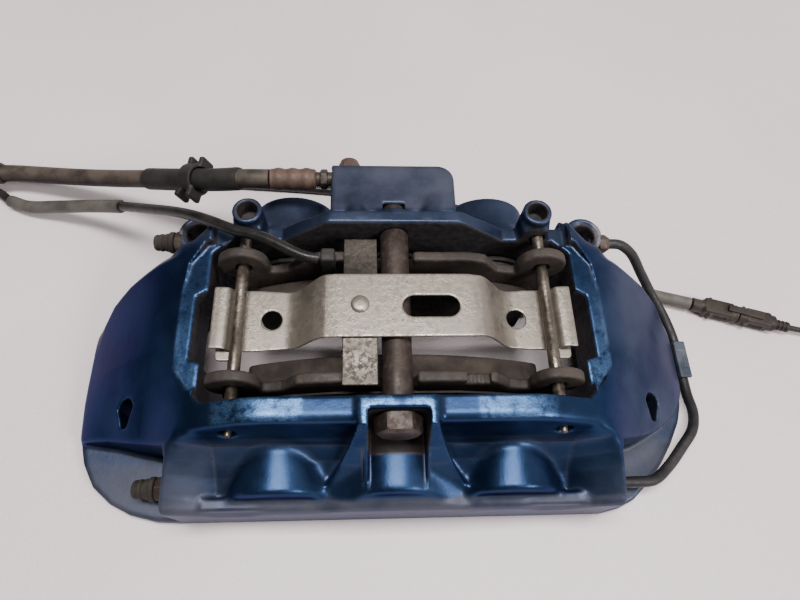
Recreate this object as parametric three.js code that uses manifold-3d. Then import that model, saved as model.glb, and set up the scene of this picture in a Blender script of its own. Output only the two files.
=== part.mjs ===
// Six-piston one-piece fixed brake caliper with pads, cross spring, crossover pipe,
// brake hose and pad wear sensor lead. Millimetres, +Z up.
// X runs along the caliper, Y across it (+Y is the inboard side), Z is radially outward from
// the axle. The drawing origin is the middle of the disc slot, on the surface it lies on.
import * as THREE from "three";
import { mergeVertices } from "three/addons/utils/BufferGeometryUtils.js";
import Module from "manifold-3d";

const wasm = await Module();
wasm.setup();

// ---------------------------------------------------------------- driving dimensions
const CLEAR = 0.3; // gap between pieces that touch
const AXLE_Z = -120; // height of the wheel axle
const DISC_R = 180;
const DISC_T = 32;
const OUTER_R = 212; // outside of the arch
const RAIL_TOP = 82; // flat top of the two rails
const HALF_LENGTH = 170; // arch tip to centre
const RIGHT_END = 168.2; // the end beside the crossover pipe
const FRONT_Y = -88; // outboard face
const FRONT_HALF = 110; // half width of the outboard face
const WALL_Y = 44; // inner wall of each half
const RAIL_Y = 56; // outer side of the outboard rail
const WINDOW_X = 98; // end walls of the pad window
const STEP_X = 92.5; // end walls beside the pads
const PIN = { x: 76, z: 66, r: 3 };
const BOLT = { z: 70, sleeveR: 7.2, shankR: 5.8, acrossFlats: 19, seatY: -50.4, headT: 8.4 };
const CYLINDERS = [
  { x: -56, z: 26, bore: 17 },
  { x: 0, z: 33, bore: 18 },
  { x: 56, z: 26, bore: 19 },
];
const HOUSING_R = 24;
const BORE_DEPTH = 27;
const SEAL_DEPTH = 8; // from the wall to the pressure seal's groove
const PLATE_T = 5.3;
const FRICTION_Y = 17.4; // working faces of the friction blocks
const SHIM_T = 1;
const OUTBOARD_PLATE_Y = -30.7; // inner face of the outboard backing plate
const INBOARD_PLATE_Y = 26.7; // inner face of the inboard backing plate
const LUG = { left: -106.2, right: 108.8, y: 57.5, top: 50, bottom: 22, r: 10.8, hole: 6.2 };
const lugX = (s) => (s > 0 ? LUG.right : LUG.left);
const POST = { x: 74, y: 52.5, top: 80, r: 7.6, hole: 5 };
const BLOCK = { half: 33, y0: 54, y1: 86, z0: 42, z1: 74 };
const PORT = { y: 80.6, z: 67.5, depth: 6.5 };
const PORT_BOLT = { x: -23.5, z: 66, r: 3, reach: 14 };
const POCKET_FLOOR = 8;
const CAP_LENGTH = 11.4;
const BLEED_LOW = { x: 2 - FRONT_HALF, y: -73, z: 18, stand: 6.5 };
const BLEED_HIGH = { x: LUG.left - LUG.r + 2.3, y: 55.5, z: 42, stand: 0 };
const PIPE_R = 3.1;
const PIPE_HIGH = { x: LUG.right + LUG.r - 1, y: 55.5, z: 42 };
const PIPE_LOW = { x: FRONT_HALF - 2, y: -74, z: 17 };
const HOSE_D = 10.4;
const LEAD_D = 5.6;
const TAIL_D = 3.4;
// From the drawing origin to the middle of the footprint, cords left out.
const FOOTPRINT = { x: 3, y: 2.4 };

// ---------------------------------------------------------------- geometry helpers
function solid(geometry) {
  const bare = geometry.clone();
  bare.deleteAttribute("normal");
  bare.deleteAttribute("uv");
  const merged = mergeVertices(bare, 1e-4);
  return new wasm.Manifold(
    new wasm.Mesh({
      numProp: 3,
      vertProperties: new Float32Array(merged.attributes.position.array),
      triVerts: new Uint32Array(merged.index.array),
    }),
  );
}

function geometryOf(manifold) {
  const { vertProperties, triVerts, numProp } = manifold.getMesh();
  const points = new Float32Array(triVerts.length * 3);
  triVerts.forEach((v, i) =>
    points.set(vertProperties.subarray(v * numProp, v * numProp + 3), i * 3),
  );
  const geometry = new THREE.BufferGeometry();
  geometry.setAttribute("position", new THREE.BufferAttribute(points, 3));
  geometry.computeVertexNormals();
  return geometry;
}

const join = (...solids) => solids.reduce((a, b) => a.add(b));
const cut = (base, ...tools) => tools.reduce((a, b) => a.subtract(b), base);

function shapeOf(points) {
  return new THREE.Shape(points.map(([x, y]) => new THREE.Vector2(x, y)));
}

function extrude(shape, depth, curveSegments = 12) {
  return new THREE.ExtrudeGeometry(shape, { depth, bevelEnabled: false, curveSegments });
}

// A shape drawn in X and Z, run from y0 to y1.
function alongY(shape, y0, y1, curveSegments) {
  return solid(extrude(shape, y1 - y0, curveSegments).rotateX(Math.PI / 2).translate(0, y1, 0));
}

// A shape drawn in X and Y, run from z0 to z1.
function alongZ(shape, z0, z1, curveSegments) {
  return solid(extrude(shape, z1 - z0, curveSegments).translate(0, 0, z0));
}

// A shape drawn in Y and Z, run from x0 to x1.
function alongX(shape, x0, x1, curveSegments) {
  const turn = new THREE.Matrix4().makeBasis(
    new THREE.Vector3(0, 1, 0),
    new THREE.Vector3(0, 0, 1),
    new THREE.Vector3(1, 0, 0),
  );
  return solid(extrude(shape, x1 - x0, curveSegments).applyMatrix4(turn).translate(x0, 0, 0));
}

function box(x0, x1, y0, y1, z0, z1) {
  return solid(
    new THREE.BoxGeometry(x1 - x0, y1 - y0, z1 - z0).translate(
      (x0 + x1) / 2,
      (y0 + y1) / 2,
      (z0 + z1) / 2,
    ),
  );
}

// Turns a geometry made round the Y axis to lie round X or Z.
function turned(geometry, axis) {
  if (axis === "x") return geometry.rotateZ(-Math.PI / 2);
  if (axis === "z") return geometry.rotateX(Math.PI / 2);
  return geometry;
}

// A straight rod from a to b along one axis, centred on (u, v) of the other two in order.
function rod(axis, u, v, r, a, b, sides = 24, rEnd = r) {
  const g = turned(new THREE.CylinderGeometry(rEnd, r, b - a, sides), axis);
  const mid = (a + b) / 2;
  const at = { x: [mid, u, v], y: [u, mid, v], z: [u, v, mid] }[axis];
  return solid(g.translate(...at));
}

// A turned piece: profile of [radius, distance along the axis] pairs that closes on itself.
function turnedPiece(axis, origin, profile, sides = 20) {
  const points = [...profile, profile[0]].map(([r, h]) => new THREE.Vector2(r, h));
  const g = turned(new THREE.LatheGeometry(points, sides), axis);
  const made = solid(g.translate(...origin));
  return made.volume() < 0 ? solid(flipped(g)) : made;
}

function flipped(geometry) {
  const g = geometry.index ? geometry.toNonIndexed() : geometry.clone();
  const p = g.attributes.position;
  for (let i = 0; i < p.count; i += 3) {
    const a = [p.getX(i), p.getY(i), p.getZ(i)];
    p.setXYZ(i, p.getX(i + 1), p.getY(i + 1), p.getZ(i + 1));
    p.setXYZ(i + 1, ...a);
  }
  return g;
}

// A round bar that follows a smooth curve through the points.
function tube(points, diameter, steps, sides = 8) {
  const section = new THREE.Shape();
  section.absarc(0, 0, diameter / 2, 0, 2 * Math.PI, false);
  const path = new THREE.CatmullRomCurve3(
    points.map((p) => new THREE.Vector3(...p)),
    false,
    "centripetal",
  );
  return solid(
    new THREE.ExtrudeGeometry(section, {
      steps,
      curveSegments: sides / 2,
      bevelEnabled: false,
      extrudePath: path,
    }),
  );
}

function hexagon(acrossFlats, u = 0, v = 0, turn = 0) {
  const r = acrossFlats / Math.sqrt(3);
  return shapeOf(
    Array.from({ length: 6 }, (_, i) => {
      const a = turn + (i * Math.PI) / 3;
      return [u + r * Math.cos(a), v + r * Math.sin(a)];
    }),
  );
}

const mirrored = (points) => points.map(([x, y]) => [-x, y]).reverse();

// ---------------------------------------------------------------- materials
const FINISH = {
  bluePaint: { color: 0x1e4a8c, roughness: 0.35, metalness: 0.5 },
  piston: { color: 0xb8b6b0, roughness: 0.3, metalness: 0.9 },
  sealRubber: { color: 0x1b1a1a, roughness: 0.7, metalness: 0 },
  backingPlate: { color: 0x3c3430, roughness: 0.85, metalness: 0.3 },
  friction: { color: 0x4a403a, roughness: 0.95, metalness: 0 },
  pinSteel: { color: 0x8d7f6c, roughness: 0.4, metalness: 0.8 },
  springSteel: { color: 0xa39c8f, roughness: 0.4, metalness: 0.8 },
  boltSteel: { color: 0x5a4d47, roughness: 0.7, metalness: 0.5 },
  pipeSteel: { color: 0x35322f, roughness: 0.6, metalness: 0.4 },
  fittingSteel: { color: 0x55463f, roughness: 0.7, metalness: 0.5 },
  hoseRubber: { color: 0x3b3733, roughness: 0.75, metalness: 0 },
  leadPlastic: { color: 0x1d1d1e, roughness: 0.5, metalness: 0 },
  sheathPlastic: { color: 0x77756f, roughness: 0.7, metalness: 0 },
  capRubber: { color: 0x4c433a, roughness: 0.85, metalness: 0 },
  connectorPlastic: { color: 0x2e2a29, roughness: 0.6, metalness: 0 },
};
const materials = Object.fromEntries(
  Object.entries(FINISH).map(([key, look]) => [key, new THREE.MeshStandardMaterial(look)]),
);

const caliper = new THREE.Group();
caliper.position.set(-FOOTPRINT.x, -FOOTPRINT.y, 0);

function add(name, finish, manifold) {
  const mesh = new THREE.Mesh(geometryOf(manifold), materials[finish]);
  mesh.name = name;
  caliper.add(mesh);
}

// ---------------------------------------------------------------- caliper body
// Half width of the arch's outer surface at a height.
const archX = (z, r = OUTER_R) => Math.sqrt(r * r - (z - AXLE_Z) ** 2);

// The arch seen along the axle: straight base, round back, flat top.
function archShape() {
  const tip = Math.sqrt(OUTER_R ** 2 - HALF_LENGTH ** 2) + AXLE_Z;
  const start = Math.atan2(tip - AXLE_Z, HALF_LENGTH);
  const end = Math.atan2(RAIL_TOP - AXLE_Z, archX(RAIL_TOP));
  const shape = new THREE.Shape();
  shape.moveTo(-HALF_LENGTH, 0);
  shape.lineTo(HALF_LENGTH, 0);
  shape.lineTo(HALF_LENGTH, tip);
  shape.absarc(0, AXLE_Z, OUTER_R, start, end, false);
  shape.lineTo(-archX(RAIL_TOP), RAIL_TOP);
  shape.absarc(0, AXLE_Z, OUTER_R, Math.PI - end, Math.PI - start, false);
  shape.lineTo(-HALF_LENGTH, 0);
  return shape;
}

// The arch seen from above, cylinder housings and lugs left out.
function planShape() {
  const back = [
    [160, 30],
    [146, 38],
    [124, 44],
    [104, 46],
    [96, 52],
    [88, 62],
  ];
  const right = [
    [FRONT_HALF, FRONT_Y],
    [119, -86],
    [128, -82],
    [138, -73.5],
    [147, -64],
    [155, -53],
    [162, -41],
    [RIGHT_END - 1.5, -30],
    [RIGHT_END, -20],
    [RIGHT_END, 6],
    [RIGHT_END - 2.5, 19],
    ...back,
  ];
  const left = [
    [FRONT_HALF, FRONT_Y],
    [122, -87.3],
    [135, -84],
    [146, -78.5],
    [156, -70],
    [163, -58],
    [HALF_LENGTH - 2.5, -45],
    [HALF_LENGTH, -27],
    [HALF_LENGTH, 6],
    [HALF_LENGTH - 2.5, 19],
    ...back,
  ];
  return shapeOf([...right, ...mirrored(left)]);
}

// A round housing for one cylinder, from the wall to its end.
const housing = ({ x, z }, y0, y1) => rod("y", x, z, HOUSING_R, y0, y1, 28);

// The outboard half above its face: sloped fairing with the recess round the three housings.
function outboardRelief() {
  const slope = alongX(
    shapeOf([
      [-RAIL_Y - 2, 70],
      [-84, 45],
      [-95, 40],
      [-95, 120],
      [-RAIL_Y - 2, 120],
    ]),
    -FRONT_HALF - 60,
    FRONT_HALF + 60,
  );
  const fall = alongX(
    shapeOf([
      [-RAIL_Y, 120],
      [-RAIL_Y, 56],
      [-66, 46],
      [-80, 39],
      [-92, 36],
      [-92, 120],
    ]),
    -100,
    100,
  );
  const left = [
    [-86, -RAIL_Y],
    [-20, -RAIL_Y],
    [-36, -90],
    [-86, -90],
  ];
  const right = [
    [18, -RAIL_Y],
    [84, -RAIL_Y],
    [84, -90],
    [36, -90],
  ];
  const recesses = [left, right].map((plan) => alongZ(shapeOf(plan), 30, 90).intersect(fall));
  return [slope, ...recesses];
}

// The inboard half behind its rail, stepping down to the cylinder housings.
function inboardRelief() {
  const behind = alongX(
    shapeOf([
      [52, 66],
      [53, 52],
      [70, 44],
      [70, 120],
      [52, 120],
    ]),
    -90,
    90,
  );
  const shoulders = [1, -1].map((s) =>
    alongY(
      shapeOf([
        [s * 34, 120],
        [s * 34, RAIL_TOP],
        [s * 58, 64],
        [s * 92, 64],
        [s * 92, 120],
      ]),
      WALL_Y - 3,
      70,
    ),
  );
  return [behind, ...shoulders];
}

// The open window between the halves, wider where the cross spring ends.
function windowSpace() {
  const side = [
    [88, -WALL_Y],
    [STEP_X, -40],
    [STEP_X, -23],
    [WINDOW_X, -21],
    [WINDOW_X, 12],
    [STEP_X, 15],
    [STEP_X, 36],
    [84, WALL_Y],
  ];
  return alongZ(shapeOf([...side, ...mirrored(side)]), -1, 120);
}

// Steps that take the pads' brake force, below the ears.
function abutments() {
  const pieces = [];
  for (const s of [1, -1]) {
    const [x0, x1] = s > 0 ? [85.5, WINDOW_X + 2] : [-WINDOW_X - 2, -85.5];
    pieces.push(box(x0, x1, -WALL_Y - 1, -22, 6, 44));
    pieces.push(box(x0, x1, 19, WALL_Y + 1, 6, 44));
  }
  return pieces;
}

// Space over the lip at the outboard corners, for the bleed screw and the pipe nut.
// On the right it also leaves room for the pipe to pass round the wing.
function cornerPocket(s) {
  const inner = [
    [FRONT_HALF - 0.5, -100],
    [FRONT_HALF - 0.5, -84],
    [105.5, -65],
    [107, -59.8],
  ];
  const right = [
    [130, -53.6],
    [140, -48.5],
    [151, -41.8],
    [159, -33],
    [164.5, -25],
    [178, -18],
    [178, -100],
  ];
  const left = [
    [120, -56.5],
    [132, -54],
    [144, -51],
    [158, -49],
    [178, -47],
    [178, -100],
  ];
  const outline = s > 0 ? [...inner, ...right] : mirrored([...inner, ...left]);
  return alongZ(shapeOf(outline), POCKET_FLOOR, 120);
}

// Hollow under each wing: the wing is a curved plate with a skirt round it.
function wingHollow(s) {
  const ring = new THREE.Shape();
  ring.absarc(0, AXLE_Z, OUTER_R - 16, 0, 2 * Math.PI, false);
  const right = [
    [113, -47],
    [132, -47],
    [149, -36],
    [157, -26],
    [157, 14],
    [113, 32],
  ];
  const left = [
    [113, -47],
    [140, -46],
    [160, -42],
    [160, 14],
    [113, 32],
  ];
  const plan = alongZ(shapeOf(s > 0 ? right : mirrored(left)), -1, 90);
  return plan.intersect(alongY(ring, -60, 60, 28));
}

function teardrop(s) {
  const r = 4.6;
  const shape = new THREE.Shape();
  const [cx, cy] = [s * 133, -37.3];
  shape.moveTo(cx + r, cy);
  shape.absarc(cx, cy, r, 0, Math.PI, false);
  shape.lineTo(cx - 1.6, cy - 9);
  shape.lineTo(cx + 1.6, cy - 9);
  shape.lineTo(cx + r, cy);
  return alongZ(shape, -1, 90, 8);
}

function caliperBody() {
  const envelope = alongY(archShape(), FRONT_Y, 62, 20).intersect(alongZ(planShape(), -1, 90));
  const discPath = rod("y", 0, AXLE_Z, DISC_R + 4, -DISC_T / 2 - 3, DISC_T / 2 + 3, 44);
  let body = cut(envelope, ...outboardRelief(), ...inboardRelief(), windowSpace());
  body = join(
    body,
    ...CYLINDERS.map((c) => housing(c, FRONT_Y + 5, -WALL_Y)),
    ...CYLINDERS.map((c) => housing(c, WALL_Y, 82)),
    ...abutments(),
    blockAndBosses(),
    tieBoltButtress(),
  );
  body = cut(
    body,
    box(-300, 300, -300, 300, -60, 0),
    discPath,
    cornerPocket(1),
    cornerPocket(-1),
    wingHollow(1),
    wingHollow(-1),
    teardrop(1),
    teardrop(-1),
    ...machinedHoles(),
  );
  return body;
}

function blockAndBosses() {
  const { half, y0, y1, z0, z1 } = BLOCK;
  const outline = new THREE.Shape();
  outline.moveTo(-half, y0);
  outline.lineTo(half + 1, y0);
  outline.lineTo(half - 1, y1 - 9);
  outline.absarc(half - 10, y1 - 9, 9, 0, Math.PI / 2, false);
  outline.lineTo(-half + 3, y1);
  outline.absarc(-half + 3, y1 - 3, 3, Math.PI / 2, Math.PI, false);
  const pieces = [alongZ(outline, z0, z1, 6)];
  for (const s of [1, -1]) {
    pieces.push(rod("z", lugX(s), LUG.y, LUG.r, LUG.bottom, LUG.top, 24));
    pieces.push(box(s * 97 - 9, s * 97 + 9, 44, 57, LUG.bottom, LUG.top - 4));
    pieces.push(rod("z", s * POST.x, POST.y, POST.r, 40, POST.top, 20));
    pieces.push(box(s * POST.x - 7, s * POST.x + 7, WALL_Y, POST.y, 55, 74));
  }
  return join(...pieces);
}

// Widened part of the outboard rail that carries the tie bolt's head.
function tieBoltButtress() {
  const plan = shapeOf([
    [-19, -WALL_Y],
    [-19, -57],
    [-36, -83],
    [36, -83],
    [17, -57],
    [17, -WALL_Y],
  ]);
  const side = shapeOf([
    [-WALL_Y, 40],
    [-WALL_Y, RAIL_TOP + 2],
    [-57, RAIL_TOP + 2],
    [-58, 80],
    [-64, 66],
    [-69.5, 55],
    [-75, 47.5],
    [-83, 39],
    [-83, 36],
  ]);
  return alongZ(plan, 30, 90).intersect(alongX(side, -40, 40));
}

function machinedHoles() {
  const holes = [];
  // Tie bolt: clearance in the outboard rail, thread in the inboard rail, seat for the head.
  holes.push(rod("y", 0, BOLT.z, BOLT.shankR + 0.4, -70, 61, 24));
  const seat = box(-13.5, 13, -86, BOLT.seatY, 57.5, 95);
  holes.push(cut(seat, housing({ x: 0, z: 33 }, -90, -40)));
  for (const s of [1, -1]) {
    holes.push(rod("y", s * PIN.x, PIN.z, PIN.r + 0.35, -62, POST.y - 2, 20));
    holes.push(rod("z", lugX(s), LUG.y, LUG.hole, LUG.bottom - 5, LUG.top + 5, 20));
    holes.push(rod("z", lugX(s), LUG.y, LUG.r + 2, -2, LUG.bottom, 24));
    holes.push(rod("z", lugX(s), LUG.y, LUG.r + 1.5, LUG.top, 120, 24));
    holes.push(rod("z", s * POST.x, POST.y, POST.hole, POST.top - 8, POST.top + 5, 16));
  }
  for (const side of [-1, 1]) {
    for (const c of CYLINDERS) {
      const at = (a, b) => (side < 0 ? [-b, -a] : [a, b]);
      const bore = (r, a, b) => rod("y", c.x, c.z, r, ...at(a, b), 20);
      holes.push(bore(c.bore + 0.25, WALL_Y - 2, WALL_Y + BORE_DEPTH));
      holes.push(bore(c.bore + 3, WALL_Y + SEAL_DEPTH, WALL_Y + SEAL_DEPTH + 4));
      holes.push(bore(c.bore + 3, WALL_Y - 2, WALL_Y + 3));
    }
  }
  // Bleed screws, pipe nuts and the hose port.
  holes.push(rod("x", BLEED_LOW.y, BLEED_LOW.z, 5.3, BLEED_LOW.x - 2, BLEED_LOW.x + 16, 20));
  holes.push(rod("x", BLEED_HIGH.y, BLEED_HIGH.z, 4.3, BLEED_HIGH.x - 4, BLEED_HIGH.x + 3, 20));
  holes.push(rod("x", PIPE_LOW.y, PIPE_LOW.z, 5.3, PIPE_LOW.x - 12, PIPE_LOW.x + 2, 20));
  holes.push(rod("x", PIPE_HIGH.y, PIPE_HIGH.z, 4.3, PIPE_HIGH.x - 3, PIPE_HIGH.x + 4, 20));
  holes.push(rod("x", BLEED_HIGH.y, BLEED_HIGH.z, 6.6, BLEED_HIGH.x - 6, BLEED_HIGH.x, 20));
  holes.push(rod("x", PIPE_HIGH.y, PIPE_HIGH.z, 6.5, PIPE_HIGH.x, PIPE_HIGH.x + 6, 20));
  holes.push(rod("x", PORT.y, PORT.z, 4.3, -BLOCK.half - 2, -BLOCK.half + PORT.depth, 20));
  const { x, z, r, reach } = PORT_BOLT;
  holes.push(rod("y", x, z, r + CLEAR, BLOCK.y1 - reach, BLOCK.y1 + 2, 16));
  return holes;
}

// ---------------------------------------------------------------- hydraulics
// Names each side and gives its sign along Y.
const SIDES = [
  { name: "outboard", s: -1, plateY: OUTBOARD_PLATE_Y - PLATE_T },
  { name: "inboard", s: 1, plateY: INBOARD_PLATE_Y + PLATE_T },
];

// Cup open towards the pad, from the shim's face to its end in the bore.
function piston(c, s, face) {
  const end = WALL_Y + BORE_DEPTH - 5;
  const start = Math.abs(face);
  const r = c.bore;
  return turnedPiece("y", [c.x, 0, c.z], [
    [0, s * end],
    [r - 1, s * end],
    [r, s * (end - 1)],
    [r, s * (start + 1)],
    [r - 1, s * start],
    [r - 4, s * start],
    [r - 4, s * (end - 5)],
    [0, s * (end - 5)],
  ]);
}

// Ring of rectangular section round the piston, in its groove.
function ringAt(c, s, inner, outer, near, far) {
  return turnedPiece("y", [c.x, 0, c.z], [
    [c.bore + inner, s * near],
    [c.bore + outer, s * near],
    [c.bore + outer, s * far],
    [c.bore + inner, s * far],
  ]);
}

function pistonSet({ name, s, plateY }) {
  const face = plateY + s * (SHIM_T + 2 * CLEAR);
  CYLINDERS.forEach((c, i) => {
    const seal = WALL_Y + SEAL_DEPTH;
    add(`${name}_piston_${i + 1}`, "piston", piston(c, s, face));
    add(`${name}_seal_${i + 1}`, "sealRubber", ringAt(c, s, CLEAR, 2.7, seal + 0.4, seal + 3.6));
    add(`${name}_dust_boot_${i + 1}`, "sealRubber", ringAt(c, s, CLEAR, 2.7, WALL_Y - 2, WALL_Y + 2.6));
  });
}

// ---------------------------------------------------------------- pads
function plateOutline() {
  const side = [
    [79, 3],
    [84, 9],
    [84, 50],
    [70, 58],
    [62, 60],
    [54, 62.5],
    [46, 72],
    [38, 74.3],
  ];
  return shapeOf([...side, ...mirrored(side)]);
}

// Steel plate with two ears on the pins and a notch for the tie bolt's sleeve.
function backingPlate(y0, y1) {
  const notchR = BOLT.sleeveR + 1.8;
  const notch = [
    rod("y", 0, BOLT.z, notchR, y0 - 1, y1 + 1, 16),
    box(-notchR, notchR, y0 - 1, y1 + 1, BOLT.z, 90),
  ];
  const ears = [1, -1].map((s) => rod("y", s * PIN.x, PIN.z, 12.6, y0, y1, 22));
  const holes = [1, -1].map((s) => rod("y", s * PIN.x, PIN.z, PIN.r + 0.5, y0 - 1, y1 + 1, 14));
  return cut(join(alongY(plateOutline(), y0, y1), ...ears), ...holes, ...notch);
}

function frictionBlock(y0, y1) {
  const r = DISC_R;
  const shape = new THREE.Shape();
  const half = 74;
  const side = Math.sqrt(r * r - half * half) + AXLE_Z;
  shape.moveTo(-half + 6, 5);
  shape.lineTo(half - 6, 5);
  shape.lineTo(half, 14);
  shape.absarc(0, AXLE_Z, r, Math.atan2(side - AXLE_Z, half), Math.atan2(side - AXLE_Z, -half), false);
  shape.lineTo(-half, 14);
  shape.lineTo(-half + 6, 5);
  const groove = box(-1.6, 1.6, y0 - 1, (y0 + y1) / 2 + 2, -5, 80);
  const flip = y0 < 0 ? box(-1.6, 1.6, (y0 + y1) / 2 - 2, y1 + 1, -5, 80) : groove;
  return cut(alongY(shape, y0, y1, 16), flip);
}

function shim(y0, y1) {
  const side = [
    [70, 8],
    [78, 14],
    [78, 46],
    [50, 57],
    [30, 60.5],
  ];
  return alongY(shapeOf([...side, ...mirrored(side)]), y0, y1);
}

function pads() {
  const [out, inn] = [OUTBOARD_PLATE_Y, INBOARD_PLATE_Y];
  add("outboard_backing_plate", "backingPlate", backingPlate(out - PLATE_T, out));
  add("inboard_backing_plate", "backingPlate", backingPlate(inn, inn + PLATE_T));
  add("outboard_friction_block", "friction", frictionBlock(out + CLEAR, -FRICTION_Y));
  add("inboard_friction_block", "friction", frictionBlock(FRICTION_Y, inn - CLEAR));
  const outShim = out - PLATE_T - CLEAR;
  const innShim = inn + PLATE_T + CLEAR;
  add("outboard_shim", "backingPlate", shim(outShim - SHIM_T, outShim));
  add("inboard_shim", "backingPlate", shim(innShim, innShim + SHIM_T));
}

// ---------------------------------------------------------------- pins, bolt and spring
function padPin(s) {
  const [x, z, r] = [s * PIN.x, PIN.z, PIN.r];
  const shaft = rod("y", x, z, r, -53, POST.y - 3, 20);
  const tip = rod("y", x, z, 1.7, -58.5, -52.8, 20, r - 0.1);
  return join(shaft, tip);
}

function tieBolt() {
  const { acrossFlats, shankR, z } = BOLT;
  const seat = BOLT.seatY - CLEAR;
  const front = seat - BOLT.headT;
  const head = alongY(hexagon(acrossFlats, 0, z), front, seat);
  const crown = rod("y", 0, z, acrossFlats / 2 - 0.6, front - 0.9, front + 0.4, 24, acrossFlats / 2);
  return join(head, crown, rod("y", 0, z, shankR, seat - 1, 60, 24));
}

function spacerSleeve() {
  const { sleeveR, shankR, z } = BOLT;
  return turnedPiece("y", [0, 0, z], [
    [shankR + CLEAR, -WALL_Y + CLEAR],
    [sleeveR, -WALL_Y + CLEAR],
    [sleeveR, WALL_Y - CLEAR],
    [shankR + CLEAR, WALL_Y - CLEAR],
  ]);
}

const SPRING = { t: 1.2, top: 80.2, low: 61.6, half: 16.3 };

// Bent strip with its ends under the pins and its middle over the tie bolt's sleeve.
function crossSpring() {
  const { t, top, low, half } = SPRING;
  const upper = [
    [-88.5, 66.2],
    [-82, 66.8],
    [-80.2, low],
    [-49, low],
    [-36, top - 1.5],
    [-31, top],
    [38, top],
    [43, top - 1.5],
    [55, low],
    [80.2, low],
    [82, 66.8],
    [88.5, 66.2],
  ];
  const lower = upper.map(([x, z]) => [x, z - t]);
  for (const p of [lower[1], lower[2]]) p[0] -= t;
  for (const p of [lower[9], lower[10]]) p[0] += t;
  const strip = alongY(shapeOf([...lower, ...upper.reverse()]), -half, half);
  const tongues = [1, -1].map((s) =>
    box(s > 0 ? 78 : -87, s > 0 ? 87 : -78, -21.2, -half + 0.8, low - t, low),
  );
  const slot = new THREE.Shape();
  slot.absarc(8.2, -0.8, 5.4, Math.PI / 2, 1.5 * Math.PI, false);
  slot.absarc(24.4, -0.8, 5.4, -Math.PI / 2, Math.PI / 2, false);
  return cut(
    join(strip, ...tongues),
    alongZ(slot, top - 8, top + 5, 7),
    ...[-60.9, 60.9].map((x) => rod("z", x, 0, 5, low - 8, low + 8, 20)),
    rod("z", STRAP.x, 0, 2.6, top - 8, top + 5, 16),
  );
}

const STRAP = { x: -17.2, half: 8.2, reach: 38 };

// Second leaf under the spring, pressing on both pads.
function springStrap() {
  const under = SPRING.top - SPRING.t - CLEAR;
  const upper = [
    [-STRAP.reach, 76],
    [-28, 76.2],
    [-15, under],
    [15, under],
    [26, 76.2],
    [STRAP.reach, 76],
  ];
  const lower = upper.map(([y, z]) => [y, z - 1]);
  const strip = alongX(
    shapeOf([...lower, ...upper.reverse()]),
    STRAP.x - STRAP.half,
    STRAP.x + STRAP.half,
  );
  return cut(strip, rod("z", STRAP.x, 0, 2.6, 60, 90, 16));
}

function springRivet() {
  const { top, t } = SPRING;
  const shank = rod("z", STRAP.x, 0, 2.3, top - t - 2.6, top + 0.6, 16);
  const dome = rod("z", STRAP.x, 0, 4.4, top + CLEAR, top + 1.6, 20, 2.6);
  const tail = rod("z", STRAP.x, 0, 3.2, top - t - 3.8, top - t - 1.9, 16, 4.2);
  return join(shank, dome, tail);
}

// ---------------------------------------------------------------- bleed screws and pipe
// Bleed screw pointing to -X, and the rubber cap on its nipple. The hexagon stands off its seat.
function bleeder(name, { x, y, z, stand }) {
  const hex = [x - stand - 5, x - Math.max(stand, CLEAR)];
  const screw = join(
    rod("x", y, z, 3.9, hex[1] - 1, x + 2.4, 20),
    alongX(hexagon(11, y, z), ...hex),
    rod("x", y, z, 3, hex[0] - 8, hex[0] + 1, 16),
  );
  const at = (distance) => hex[0] - CLEAR - distance;
  const cap = turnedPiece("x", [x, y, z].map((v, i) => (i ? v : 0)), [
    [0, at(CAP_LENGTH)],
    [4, at(CAP_LENGTH)],
    [4.8, at(CAP_LENGTH - 0.9)],
    [5.2, at(3)],
    [6, at(2.4)],
    [6, at(0)],
    [3.3, at(0)],
    [3.3, at(8.3)],
    [0, at(8.3)],
  ], 16);
  add(`${name}_bleed_screw`, "fittingSteel", screw);
  add(`${name}_bleed_cap`, "capRubber", cap);
}

const PIPE_ROUTE = [
  [PIPE_HIGH.x + 7, PIPE_HIGH.y, PIPE_HIGH.z],
  [132, 55, 42],
  [140.5, 52.5, 36.5],
  [150.5, 46, 24],
  [160.5, 36.5, 12.5],
  [168.5, 23, 6.5],
  [171.9, 9, 4.6],
  [172, -10, 4.6],
  [171.6, -24, 5.6],
  [171, -35.5, 8.6],
  [166.2, -46, 12.2],
  [157.5, -56, 12.6],
  [147.5, -66, 13.4],
  [137, -73, 15.8],
  [126, PIPE_LOW.y, PIPE_LOW.z],
  [PIPE_LOW.x + 7, PIPE_LOW.y, PIPE_LOW.z],
];

function pipeNut({ x, y, z }) {
  const nut = join(
    alongX(hexagon(9.4, y, z), x + 0.4, x + 6.4),
    rod("x", y, z, 3.9, x - 2, x + 1, 20),
  );
  return nut;
}

function crossover() {
  add("crossover_pipe", "pipeSteel", tube(PIPE_ROUTE, 2 * PIPE_R, 40, 8));
  add("crossover_nut_inboard", "fittingSteel", pipeNut(PIPE_HIGH));
  add("crossover_nut_outboard", "fittingSteel", pipeNut(PIPE_LOW));
  const clip = cut(
    box(RIGHT_END + CLEAR, 176, -15, 8, 1, 9.6),
    rod("y", 172, 4.7, PIPE_R + 0.6, -30, 20, 16),
  );
  add("pipe_clip", "connectorPlastic", clip);
}

// ---------------------------------------------------------------- hose
const HOSE_ROUTE = [
  [-66.4, PORT.y, PORT.z],
  [-82, PORT.y + 0.6, PORT.z - 0.9],
  [-97, 84.6, 60.8],
  [-118, 91, 52],
  [-142, 99.5, 41],
  [-165, 107, 31],
  [-188, 113.5, 23],
  [-210, 118.5, 17.8],
  [-226, 121.6, 15],
  [-236, 122.9, 14],
  [-244, 123, 14],
];
const HOSE_STEPS = 14;

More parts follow.
